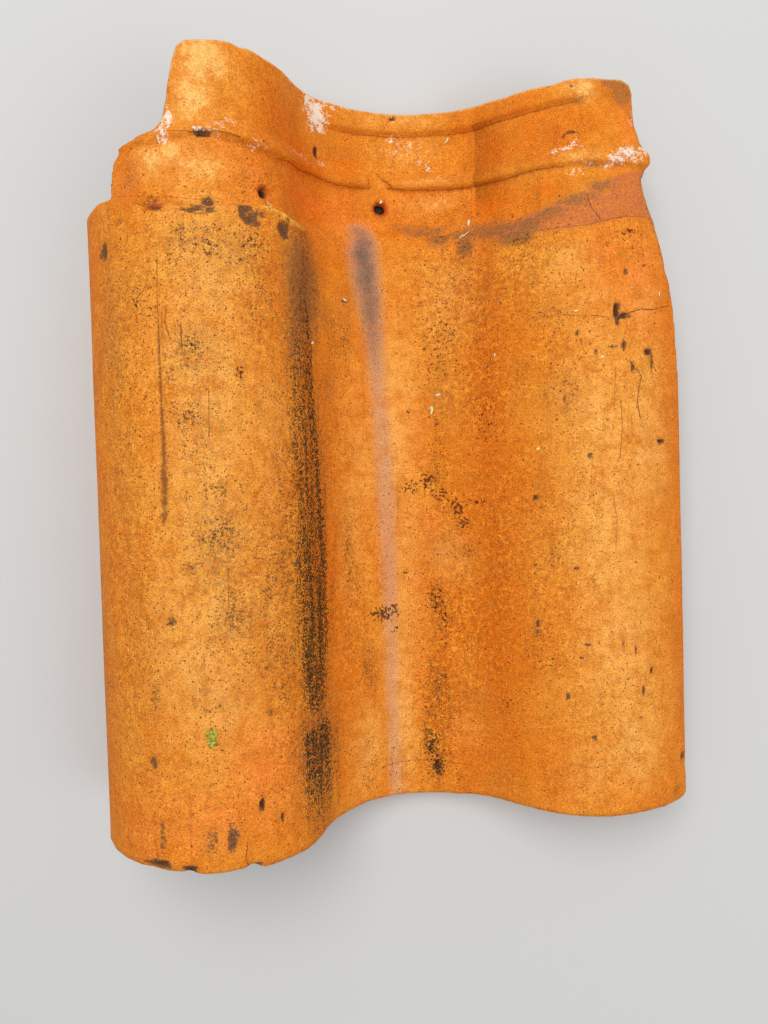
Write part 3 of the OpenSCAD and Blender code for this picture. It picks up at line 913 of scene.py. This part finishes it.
class Shader:
    """Short calls for building a material's nodes."""

    def __init__(self, name):
        self.material = bpy.data.materials.new(name)
        self.material.use_nodes = True
        self.tree = self.material.node_tree
        self.tree.nodes.clear()
        self.surface = self.node("ShaderNodeBsdfPrincipled")
        out = self.node("ShaderNodeOutputMaterial")
        self.join(self.surface.outputs["BSDF"], out.inputs["Surface"])

    def node(self, kind, **settings):
        made = self.tree.nodes.new(kind)
        for key, value in settings.items():
            setattr(made, key, value)
        return made

    def join(self, output, socket):
        self.tree.links.new(output, socket)

    def put(self, socket, value):
        if isinstance(value, bpy.types.NodeSocket):
            self.join(value, socket)
        else:
            socket.default_value = value

    def attribute(self, name, output):
        found = self.node("ShaderNodeAttribute", attribute_name=name)
        return found.outputs[output]

    def amounts(self, name):
        found = self.node("ShaderNodeAttribute", attribute_name=name)
        split = self.node("ShaderNodeSeparateColor")
        self.join(found.outputs["Color"], split.inputs[0])
        return split.outputs[0], split.outputs[1], split.outputs[2], found.outputs["Alpha"]

    def math(self, operation, a, b=0.0, c=0.0):
        made = self.node("ShaderNodeMath", operation=operation)
        for socket, value in zip(made.inputs, (a, b, c)):
            self.put(socket, value)
        return made.outputs[0]

    def times(self, a, b):
        return self.math("MULTIPLY", a, b)

    def plus(self, first, *terms):
        """A value with noises added to it, each given with its weight and taken about its middle."""
        total = first
        for noise, weight in terms:
            total = self.math("ADD", total, self.math("MULTIPLY_ADD", noise, weight, -weight / 2))
        return total

    def rise(self, value, low, high, top=1.0):
        made = self.node("ShaderNodeMapRange", interpolation_type="SMOOTHSTEP")
        for socket, item in zip(made.inputs, (value, low, high, 0.0, top)):
            self.put(socket, item)
        return made.outputs[0]

    def scaled(self, vector, factors):
        made = self.node("ShaderNodeVectorMath", operation="MULTIPLY")
        self.put(made.inputs[0], vector)
        self.put(made.inputs[1], factors)
        return made.outputs[0]

    def noise(self, vector, scale, detail=4.0, roughness=0.55):
        made = self.node("ShaderNodeTexNoise")
        self.put(made.inputs["Vector"], vector)
        self.put(made.inputs["Scale"], scale)
        self.put(made.inputs["Detail"], detail)
        self.put(made.inputs["Roughness"], roughness)
        return made.outputs[0]

    def mix(self, amount, a, b, blend="MIX"):
        made = self.node("ShaderNodeMix", data_type="RGBA", blend_type=blend)
        self.put(made.inputs[0], amount)
        self.put(made.inputs[6], a)
        self.put(made.inputs[7], b)
        return made.outputs[2]

    def grown(self, amount, noises, span, gate, top=1.0):
        """Where a stain shows: its amount made ragged by weighted noises, and none where it has no amount."""
        ragged = self.rise(self.plus(amount, *noises), *span, top)
        return self.times(ragged, self.rise(amount, *gate))

    def shaded(self, colour, noise, span, dark, light):
        """The colour multiplied by a tone that a noise moves between two."""
        tone = self.mix(self.rise(noise, *span), dark + (1.0,), light + (1.0,))
        return self.mix(1.0, colour, tone, "MULTIPLY")

    def bumped(self, height, strength, distance):
        """Fine relief on the surface, from a height."""
        bump = self.node("ShaderNodeBump")
        bump.inputs["Strength"].default_value = strength
        bump.inputs["Distance"].default_value = distance
        self.join(height, bump.inputs["Height"])
        self.join(bump.outputs[0], self.surface.inputs["Normal"])

    def jittered(self, vector, scale, reach):
        """The vector pushed about by noise, so that dots laid on it come out ragged."""
        made = self.node("ShaderNodeTexNoise")
        self.put(made.inputs["Vector"], vector)
        self.put(made.inputs["Scale"], scale)
        push = self.node("ShaderNodeVectorMath", operation="MULTIPLY_ADD")
        self.join(made.outputs["Color"], push.inputs[0])
        self.put(push.inputs[1], (reach, reach, reach))
        self.put(push.inputs[2], vector)
        return push.outputs[0]

    def specks(self, vector, scale, density, size):
        """Dots, one to a cell at most, in as many cells as the density says."""
        cells = self.node("ShaderNodeTexVoronoi")
        self.put(cells.inputs["Vector"], vector)
        self.put(cells.inputs["Scale"], scale)
        split = self.node("ShaderNodeSeparateColor")
        self.join(cells.outputs["Color"], split.inputs[0])
        radius = self.math("MULTIPLY_ADD", split.outputs[1], size, size * 0.3)
        dot = self.rise(self.math("SUBTRACT", radius, cells.outputs["Distance"]), -0.06, 0.14)
        there = self.math("GREATER_THAN", density, split.outputs[0])
        return self.times(dot, there)


ORANGE = tint(231, 127, 16)
OCHRE = tint(234, 142, 37)
DEEP_ORANGE = tint(226, 112, 0)
RED_CLAY = tint(246, 128, 42)
APRICOT = tint(252, 177, 86)
YELLOW_FLECK = tint(255, 188, 80)
GOLD_FLECK = tint(250, 172, 52)
BROWN_FLECK = tint(176, 96, 26)
LIME_WASH = tint(255, 198, 112)
PALE_GRAIN = tint(252, 190, 116)
FILM_BROWN = tint(150, 100, 54)
SLOPE_BROWN = tint(200, 110, 62)
LILAC_PALE = tint(204, 158, 128)
LILAC_GREY = tint(94, 84, 82)
CORNER_BROWN = tint(176, 106, 46)
OLIVE = tint(156, 82, 4)
RIDGE_YELLOW = tint(252, 178, 64)
LICHEN_DARK = tint(26, 28, 18)
LICHEN_LIGHT = tint(66, 60, 33)
SPECK_BROWN = tint(80, 42, 16)
CLUSTER_RED = tint(64, 20, 12)
PIT_DARK = tint(40, 20, 10)
SCAR_DARK = tint(70, 48, 34)
SCAR_LIGHT = tint(124, 88, 58)
GROOVE_BROWN = tint(112, 62, 26)
LIME_WHITE = tint(240, 224, 206)
RIM_PALE = tint(244, 190, 126)
# Dark brown of the hair lines and of the painted shade lines under the ribs and along the step
CRACK_AND_SHADE_BROWN = tint(66, 30, 12)
RUST_RED = tint(150, 50, 12)
FLOOR_GREY = (0.62, 0.62, 0.61, 1.0)


def clay_noises(m, lay):
    """Noises of several sizes that the clay's layers share."""
    return {
        "broad": m.noise(lay, 25.0, 3.0),
        "mid": m.noise(lay, 100.0, 5.0, 0.6),
        "mottle": m.noise(lay, 330.0, 5.0, 0.65),
        "grain": m.noise(lay, 900.0, 4.0, 0.7),
        "sand": m.noise(lay, 1350.0, 3.0, 0.7),
        "streak": m.noise(m.scaled(lay, (1.0, 0.12, 1.0)), 210.0, 4.0, 0.6),
    }


def bare_clay(m, noises):
    """Orange and ochre clay, with deeper, redder and paler places, and painted shade down the flanks and
    painted light along the crests.
    """
    pale_and_lit_at, deep_and_shade_at = m.amounts("stains_light_and_shade_b")[:2]
    red_at = m.amounts("stain_c")[3]
    mid = noises["mid"]
    colour = m.mix(m.rise(noises["broad"], 0.38, 0.62), ORANGE, OCHRE)
    # Deeper clay, with painted shade down the flanks and side edges
    colour = m.mix(m.times(deep_and_shade_at, m.rise(mid, 0.15, 0.58)), colour, DEEP_ORANGE)
    colour = m.mix(m.times(red_at, m.rise(mid, 0.10, 0.60)), colour, RED_CLAY)
    # Paler clay, and painted light along the rolls' crests
    return m.mix(m.times(pale_and_lit_at, m.rise(mid, 0.15, 0.60)), colour, APRICOT)


def flecked(m, colour, lay, noises):
    """Yellow, golden and brown flecks, closest where specks lie, and fewer on the sheltered lap."""
    specks_at = m.amounts("stains_light_and_shade_b")[2]
    exposed_at = m.amounts("stain_d")[3]
    amount = m.math("MULTIPLY_ADD", specks_at, 0.46, 0.12)
    amount = m.times(amount, m.math("MULTIPLY_ADD", exposed_at, 0.6, 0.4))
    fleck = m.noise(lay, 620.0, 5.0, 0.75)
    colour = m.mix(m.times(m.rise(fleck, 0.53, 0.63, 1.6), amount), colour, YELLOW_FLECK)
    blotch = m.noise(lay, 300.0, 3.0, 0.62)
    spread = m.times(specks_at, exposed_at)
    colour = m.mix(m.times(m.rise(blotch, 0.48, 0.38, 0.40), spread), colour, BROWN_FLECK)
    colour = m.mix(m.times(m.rise(blotch, 0.53, 0.63, 0.85), spread), colour, GOLD_FLECK)
    dull = m.noise(m.scaled(lay, (1.0, 0.6, 1.3)), 260.0, 6.0, 0.7)
    colour = m.mix(m.times(m.rise(dull, 0.51, 0.64), amount), colour, BROWN_FLECK)
    return m.mix(m.rise(noises["streak"], 0.54, 0.72, 0.30), colour, BROWN_FLECK)


def washed(m, colour, noises):
    """A pale wash on the sheltered lap, and lighter and darker clay all over."""
    pale_and_lit_at = m.amounts("stains_light_and_shade_b")[0]
    sheltered = m.math("SUBTRACT", 1.0, m.amounts("stain_d")[3])
    mid, mottle = noises["mid"], noises["mottle"]
    wash = m.grown(pale_and_lit_at, ((mottle, 1.4), (mid, 1.4)), span=(0.40, 0.95), gate=(0.03, 0.3), top=0.60)
    colour = m.mix(m.times(wash, sheltered), colour, LIME_WASH)
    colour = m.shaded(colour, mid, (0.34, 0.66), (0.92, 0.90, 0.85), (1.04, 1.05, 1.08))
    return m.shaded(colour, mottle, (0.36, 0.64), (0.93, 0.90, 0.83), (1.04, 1.06, 1.10))


def streaked(m, colour, noises):
    """The step's dull slope and the lilac streak down the pan, greyer at its head."""
    lilac_at = m.amounts("stain_a")[2]
    slope_at = m.amounts("stain_c")[2]
    dulled_at = m.amounts("stain_d")[2]
    mid, mottle, grain = noises["mid"], noises["mottle"], noises["grain"]
    slope = m.rise(m.plus(mottle, (grain, 0.8)), 0.16, 0.58, 0.88)
    colour = m.mix(m.times(slope_at, slope), colour, SLOPE_BROWN)
    halo = m.grown(lilac_at, ((mottle, 0.5),), span=(0.0, 0.75), gate=(0.0, 0.3), top=0.58)
    colour = m.mix(m.times(halo, m.rise(mid, 0.2, 0.5)), colour, LILAC_PALE)
    core = m.grown(lilac_at, ((mid, 1.1), (grain, 0.9)), span=(0.22, 1.20), gate=(0.0, 0.35), top=0.82)
    return m.mix(m.times(core, dulled_at), colour, LILAC_GREY)


def stained(m, colour, noises):
    """Film of dirt, brown and olive stains, the ridge's crust, and pale and dark grains."""
    film_at = m.amounts("stain_a")[1]
    brown_at, olive_at = m.amounts("stain_c")[:2]
    ridge_at = m.amounts("stain_d")[1]
    mottle, grain = noises["mottle"], noises["grain"]
    film = m.grown(film_at, ((mottle, 1.5), (grain, 1.0)), span=(0.22, 0.85), gate=(0.02, 0.20), top=0.8)
    colour = m.mix(film, colour, FILM_BROWN)
    colour = m.mix(m.rise(m.plus(brown_at, (grain, 0.5)), 0.2, 0.7, 0.9), colour, CORNER_BROWN)
    colour = m.mix(m.times(olive_at, 0.8), colour, OLIVE)
    crust = m.grown(ridge_at, ((mottle, 1.2), (grain, 1.0)), span=(0.25, 0.70), gate=(0.05, 0.3), top=0.9)
    colour = m.mix(crust, colour, RIDGE_YELLOW)
    colour = m.mix(m.rise(grain, 0.54, 0.70, 0.34), colour, PALE_GRAIN)
    return m.shaded(colour, noises["sand"], (0.30, 0.70), (0.66, 0.60, 0.48), (1.22, 1.26, 1.38))


def lichened(m, colour, noises):
    """Dark lichen, which lets the clay show through where it is thin. Gives where it grows as well."""
    lichen_at = m.amounts("stain_a")[0]
    weights = ((noises["mottle"], 1.5), (noises["grain"], 3.2), (noises["streak"], 0.9))
    lichen = m.grown(lichen_at, weights, span=(0.48, 0.64), gate=(0.03, 0.22))
    tone = m.mix(m.rise(noises["sand"], 0.38, 0.66), LICHEN_DARK, LICHEN_LIGHT)
    cover = m.math("MULTIPLY_ADD", m.rise(lichen_at, 0.36, 0.62), 0.34, 0.60)
    return m.mix(m.times(lichen, cover), colour, tone), lichen


def specked(m, colour, lay, noises):
    """Dark specks of two sizes, and close groups of reddish black dots."""
    specks_at = m.amounts("stains_light_and_shade_b")[2]
    cluster_at = m.amounts("stains_and_shade_lines_e")[0]
    ragged = m.jittered(lay, 1500.0, 0.0009)
    small = m.specks(ragged, 860.0, m.math("MULTIPLY_ADD", specks_at, 0.74, 0.03), 0.36)
    large = m.specks(ragged, 430.0, m.math("MULTIPLY_ADD", specks_at, 0.24, 0.004), 0.26)
    dark = m.math("MAXIMUM", small, large)
    colour = m.mix(m.times(dark, m.rise(noises["mid"], 0.26, 0.56, 0.78)), colour, SPECK_BROWN)
    dots = m.noise(lay, 520.0, 3.0, 0.6)
    crowd = m.grown(cluster_at, ((dots, 3.6),), span=(0.68, 0.92), gate=(0.05, 0.3), top=0.85)
    return m.mix(crowd, colour, CLUSTER_RED)


def damaged(m, colour, noises):
    """Rust, broken places and the groove."""
    scar_at = m.amounts("stains_light_and_shade_b")[3]
    groove_at = m.amounts("stain_d")[0]
    rust_at = m.amounts("stain_f")[0]
    mottle, grain = noises["mottle"], noises["grain"]
    rust = m.grown(rust_at, ((mottle, 1.0), (grain, 1.2)), span=(0.15, 0.75), gate=(0.03, 0.3), top=0.85)
    colour = m.mix(rust, colour, RUST_RED)
    scar = m.grown(scar_at, ((mottle, 1.6), (grain, 1.6)), span=(0.28, 0.58), gate=(0.05, 0.3), top=0.90)
    tone = m.mix(m.rise(grain, 0.40, 0.60), SCAR_DARK, SCAR_LIGHT)
    colour = m.mix(scar, colour, m.mix(m.rise(scar_at, 0.62, 0.92), tone, PIT_DARK))
    groove = m.grown(groove_at, ((grain, 1.6), (mottle, 1.0)), span=(0.25, 0.95), gate=(0.05, 0.3), top=0.78)
    return m.mix(groove, colour, GROOVE_BROWN)


def worn(m, colour, noises):
    """Lime, hair lines, painted shade lines under the ribs and along the step, and rubbed edges."""
    lime_at = m.amounts("stain_a")[3]
    crack_and_shade_at, crack_and_shade_side, wear_at = m.amounts("stains_and_shade_lines_e")[1:]
    mottle, grain = noises["mottle"], noises["grain"]
    lime = m.grown(lime_at, ((mottle, 2.2), (grain, 2.4)), span=(0.50, 0.80), gate=(0.03, 0.2), top=0.92)
    colour = m.mix(lime, colour, LIME_WHITE)
    # Thin dark lines: hair lines, and painted shade under the ribs and along the step
    beside = m.plus(m.math("SUBTRACT", crack_and_shade_side, 0.5), (mottle, 0.06), (grain, 0.05))
    line = m.math("SUBTRACT", 1.0, m.rise(m.math("ABSOLUTE", beside), 0.002, 0.024))
    crack_and_shade_line = m.times(m.times(line, crack_and_shade_at), m.rise(noises["mid"], 0.22, 0.52))
    colour = m.mix(crack_and_shade_line, colour, CRACK_AND_SHADE_BROWN)
    rubbed = m.grown(wear_at, ((mottle, 1.6),), span=(0.25, 0.90), gate=(0.05, 0.3), top=0.65)
    return m.mix(rubbed, colour, RIM_PALE)


def clay_material():
    """Weathered terracotta: mottled clay, streaks, lichen, specks, lime and broken places, with painted light
    along the rolls' crests and painted shade down their flanks, under the ribs and along the step.
    """
    m = Shader("weathered_terracotta")
    lay = m.attribute("lay", "Vector")
    noises = clay_noises(m, lay)
    colour = flecked(m, bare_clay(m, noises), lay, noises)
    colour = streaked(m, washed(m, colour, noises), noises)
    colour, lichen = lichened(m, stained(m, colour, noises), noises)
    colour = damaged(m, specked(m, colour, lay, noises), noises)
    m.join(worn(m, colour, noises), m.surface.inputs["Base Color"])
    roughness = m.math("MULTIPLY_ADD", noises["mottle"], 0.25, 0.64)
    m.join(m.math("MULTIPLY_ADD", lichen, 0.12, roughness), m.surface.inputs["Roughness"])
    m.surface.inputs["Specular IOR Level"].default_value = 0.16
    height = m.math("MULTIPLY_ADD", noises["mottle"], 0.9, m.times(noises["grain"], 0.7))
    m.bumped(height, strength=0.7, distance=0.0006)
    return m.material


def floor_material():
    """Plain pale studio floor."""
    m = Shader("pale_floor")
    m.surface.inputs["Base Color"].default_value = FLOOR_GREY
    m.surface.inputs["Roughness"].default_value = 0.9
    return m.material


# The tile

def to_frame(s, y, h):
    """Places in the shared frame, in metres, of points at a height over the wave."""
    x, z, nx, nz = wave(s)
    places = np.stack([x + nx * h + PAN_LINE_X, y - LENGTH / 2, z + nz * h + THICKNESS], axis=1)
    places[:, 2] = np.maximum(places[:, 2], 0)
    return places * MM


def add_piece(name, points, faces, material):
    """A smooth mesh in the scene."""
    mesh = bpy.data.meshes.new(name)
    mesh.from_pydata(points, [], faces)
    mesh.polygons.foreach_set("use_smooth", [True] * len(mesh.polygons))
    mesh.materials.append(material)
    piece = bpy.data.objects.new(name, mesh)
    bpy.context.collection.objects.link(piece)
    return piece


def add_amounts(piece, name, values):
    """Four amounts at each of a piece's points, for its material to read."""
    made = piece.data.attributes.new(name, "FLOAT_COLOR", "POINT")
    made.data.foreach_set("color", np.asarray(values, float).ravel())


def add_lay(piece, places):
    """The coordinates on which a piece's material lays its noises."""
    made = piece.data.attributes.new("lay", "FLOAT_VECTOR", "POINT")
    made.data.foreach_set("vector", np.asarray(places, float).ravel())


def make_tile():
    """The tile itself, in place of the plain solid."""
    skin = build_skin()
    s, y, h, shown = skin.points.T
    tile = add_piece("tile_skin", to_frame(s, y, h).tolist(), skin.faces, clay_material())
    add_lay(tile, skin.points[:, :3] * MM)
    for name, amounts in weathering_and_painted_light(s, y).items():
        add_amounts(tile, name, np.clip(np.stack(amounts, axis=1) * shown[:, None], 0, MOST))
    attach(tile, "root")
    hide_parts("roof_tile")


# Colours of the loose bits
STRAW = (0.94, 0.80, 0.52)
CHAFF = (0.94, 0.86, 0.70)
HUSK = (0.90, 0.82, 0.34)
MOSS = (0.56, 0.52, 0.06)
MOSS_DARK = (0.24, 0.24, 0.02)
SEED_BROWN = (0.22, 0.10, 0.03)
# Loose bits that lie on the tile: pixel, length, width, turn in degrees, and colour
BITS = [
    (466, 237, 8.5, 0.9, 22.0, STRAW),
    (463, 239, 5.0, 0.7, 35.0, CHAFF),
    (469, 223, 4.0, 1.6, 80.0, CHAFF),
    (438, 395, 3.2, 1.6, 15.0, CHAFF),
    (432, 411, 5.0, 1.8, 75.0, HUSK),
    (431, 408, 2.4, 1.2, 50.0, CHAFF),
    (408, 412, 2.8, 1.2, -40.0, SEED_BROWN),
    (437, 424, 3.0, 1.4, 10.0, SEED_BROWN),
    (447, 141, 4.0, 1.4, 55.0, HUSK),
    (428, 170, 3.4, 1.5, 60.0, CHAFF),
    (312, 343, 2.4, 1.6, 20.0, CHAFF),
    (345, 300, 3.2, 1.4, -25.0, CHAFF),
    (576, 311, 2.4, 1.4, 5.0, HUSK),
    (659, 294, 2.8, 1.0, 85.0, CHAFF),
    (602, 357, 2.4, 1.4, 30.0, CHAFF),
    (495, 355, 2.0, 1.2, 70.0, CHAFF),
    (538, 449, 2.6, 1.5, 40.0, HUSK),
    (381, 202, 2.6, 1.5, 60.0, CHAFF),
]
MOSS_TUFT = (212, 738)
MOSS_BLADES = 60
# Near-black colour of the nail hole's plug, painted shade for the hole's depth
HOLE_SHADE_DARK = (0.012, 0.005, 0.003)
BIT_RINGS = 7
BIT_SIDES = 6
BITS_SEED = 5
# Near-black plug low in the nail hole, painted shade for the hole's depth: sides, height of its middle, and
# radius and height of its rings
PLUG_SIDES = 18
PLUG_MIDDLE = -9.0
PLUG_RINGS = [(1.5, -9.3), (NAIL_R - 0.1, -8.8), (NAIL_R - 0.1, -12.5), (1.5, -12.8)]


def bit_shape(rng, place, length, width, turn):
    """A bent, ragged spindle lying on the skin: its points in the shared frame."""
    s, y = place
    along = np.array([math.cos(turn), math.sin(turn)])
    rows = []
    for t in np.linspace(-1, 1, BIT_RINGS):
        half = width / 2 * max(1 - t * t, 0.02) ** 0.6 * rng.uniform(0.75, 1.15)
        bend = 0.18 * length * t * t * rng.uniform(0.6, 1.2)
        for a in np.linspace(0, 2 * math.pi, BIT_SIDES, endpoint=False):
            side = half * math.cos(a) + bend * 0.4
            ds = along[0] * t * length / 2 - along[1] * side
            dy = along[1] * t * length / 2 + along[0] * side
            rows.append((s + ds, y + dy, half * 0.6 * (1 + math.sin(a)) + 0.3 * bend))
    rows = np.array(rows)
    return to_frame(rows[:, 0], rows[:, 1], rows[:, 2] + skin_height(np.array([s]), np.array([y])))


def bit_faces(base):
    """Sides and closed ends of one spindle, from its first point's number."""
    faces = []
    for r in range(BIT_RINGS - 1):
        for k in range(BIT_SIDES):
            a = base + r * BIT_SIDES + k
            b = base + r * BIT_SIDES + (k + 1) % BIT_SIDES
            faces.append((a, b, b + BIT_SIDES, a + BIT_SIDES))
    first = [base + k for k in range(BIT_SIDES)]
    last = [base + (BIT_RINGS - 1) * BIT_SIDES + k for k in range(BIT_SIDES)]
    return faces + [tuple(first[::-1]), tuple(last)]


def hole_shade_plug(rng):
    """A lumpy near-black plug low in the nail hole, painted shade for its depth: its points and its faces
    from nought.
    """
    points = [(NAIL_S, NAIL_Y, PLUG_MIDDLE)]
    for r, h in PLUG_RINGS:
        for k in range(PLUG_SIDES):
            a = 2 * math.pi * k / PLUG_SIDES
            points.append((NAIL_S + r * math.cos(a), NAIL_Y + r * math.sin(a), h + rng.uniform(-0.4, 0.4)))
    faces = [(0, 1 + k, 1 + (k + 1) % PLUG_SIDES) for k in range(PLUG_SIDES)]
    last = len(PLUG_RINGS) - 1
    for ring in range(last):
        for k in range(PLUG_SIDES):
            a = 1 + ring * PLUG_SIDES + k
            b = 1 + ring * PLUG_SIDES + (k + 1) % PLUG_SIDES
            faces.append((a, a + PLUG_SIDES, b + PLUG_SIDES, b))
    faces.append(tuple(1 + last * PLUG_SIDES + k for k in reversed(range(PLUG_SIDES))))
    return to_frame(*np.array(points).T), faces


def bits_material():
    """Dry plant matter, and the near-black plug of painted shade in the nail hole, each bit in its own
    colour.
    """
    m = Shader("dry_bits_and_hole_shade")
    tone = m.attribute("tone", "Color")
    mottle = m.noise(m.attribute("lay", "Vector"), 900.0, 4.0, 0.7)
    colour = m.shaded(tone, mottle, (0.3, 0.7), (0.70, 0.66, 0.58), (1.05, 1.05, 1.05))
    m.join(colour, m.surface.inputs["Base Color"])
    m.join(m.math("MULTIPLY_ADD", mottle, 0.3, 0.6), m.surface.inputs["Roughness"])
    m.bumped(mottle, strength=0.6, distance=0.0003)
    return m.material


def wanted_bits(rng):
    """Place, length, width, turn and colour of each loose bit and of each blade of the moss tuft."""
    wanted = [(on_tile(u, v), length, width, math.radians(turn), tone)
              for u, v, length, width, turn, tone in BITS]
    ms, my = on_tile(*MOSS_TUFT)
    for _ in range(MOSS_BLADES):
        place = (ms + rng.normal(0, 1.2), my + rng.normal(0, 2.3))
        tone = MOSS if rng.uniform() < 0.65 else MOSS_DARK
        wanted.append((place, rng.uniform(1.5, 3.0), rng.uniform(0.8, 1.4), rng.uniform(0, math.pi), tone))
    return wanted


def make_bits():
    """Dry plant bits, the moss tuft, and the near-black plug of painted shade in the nail hole."""
    rng = np.random.default_rng(BITS_SEED)
    points, faces = hole_shade_plug(rng)
    points = points.tolist()
    tones = [HOLE_SHADE_DARK] * len(points)
    for place, length, width, turn, tone in wanted_bits(rng):
        made = bit_shape(rng, place, length, width, turn).tolist()
        faces += bit_faces(len(points))
        points += made
        tones += [tone] * len(made)
    bits = add_piece("loose_bits", points, faces, bits_material())
    add_lay(bits, points)
    add_amounts(bits, "tone", [tone + (1.0,) for tone in tones])
    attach(bits, "root")


# Studio

# The floor lies a hair under the tile's foot, so that no two faces share a place
FLOOR_DROP = 0.0003
FLOOR_HALF = 3.0
SKY_STRENGTH = 0.54
# Lamps: place, size and power
HEAD_LAMP = ((-0.25, 0.75, 1.5), 1.1, 16.0)
TAIL_LAMP = ((0.9, -0.5, 1.3), 1.0, 5.0)


def make_floor():
    """Plain floor, which keeps the tile's shadow."""
    corners = [(-1, -1), (1, -1), (1, 1), (-1, 1)]
    points = [(x * FLOOR_HALF, y * FLOOR_HALF, -FLOOR_DROP) for x, y in corners]
    floor = add_piece("floor", points, [(0, 1, 2, 3)], floor_material())


def soft_lamp(name, place, size, watts):
    """A round lamp that shines on the tile's middle."""
    lamp = bpy.data.lights.new(name, "AREA")
    lamp.shape = "DISK"
    lamp.size = size
    lamp.energy = watts
    holder = bpy.data.objects.new(name, lamp)
    bpy.context.collection.objects.link(holder)
    holder.location = place
    holder.rotation_euler = (-holder.location).to_track_quat("-Z", "Y").to_euler()


def light_studio():
    """Even white light from all round, a soft lamp from the head and a weaker one from the tail."""
    world = bpy.data.worlds.new("studio")
    bpy.context.scene.world = world
    world.use_nodes = True
    background = world.node_tree.nodes["Background"]
    background.inputs["Color"].default_value = (1.0, 1.0, 1.0, 1.0)
    background.inputs["Strength"].default_value = SKY_STRENGTH
    soft_lamp("sky_lamp", *HEAD_LAMP)
    soft_lamp("fill_lamp", *TAIL_LAMP)


def place_camera():
    """The photograph's camera."""
    data = bpy.data.cameras.new("camera")
    data.sensor_fit = "AUTO"
    data.sensor_width = SENSOR_MM
    data.lens = FOCAL_PX / IMAGE_H * SENSOR_MM
    data.clip_start = 0.01
    camera = bpy.data.objects.new("camera", data)
    bpy.context.collection.objects.link(camera)
    place = np.array(CAMERA_PLACE) + (PAN_LINE_X, -LENGTH / 2, THICKNESS)
    turn = Matrix(camera_axes().T.tolist()).to_4x4()
    camera.matrix_world = Matrix.Translation((place * MM).tolist()) @ turn
    bpy.context.scene.camera = camera


make_tile()
make_bits()
make_floor()
light_studio()
place_camera()
bpy.context.scene.view_settings.view_transform = "Standard"
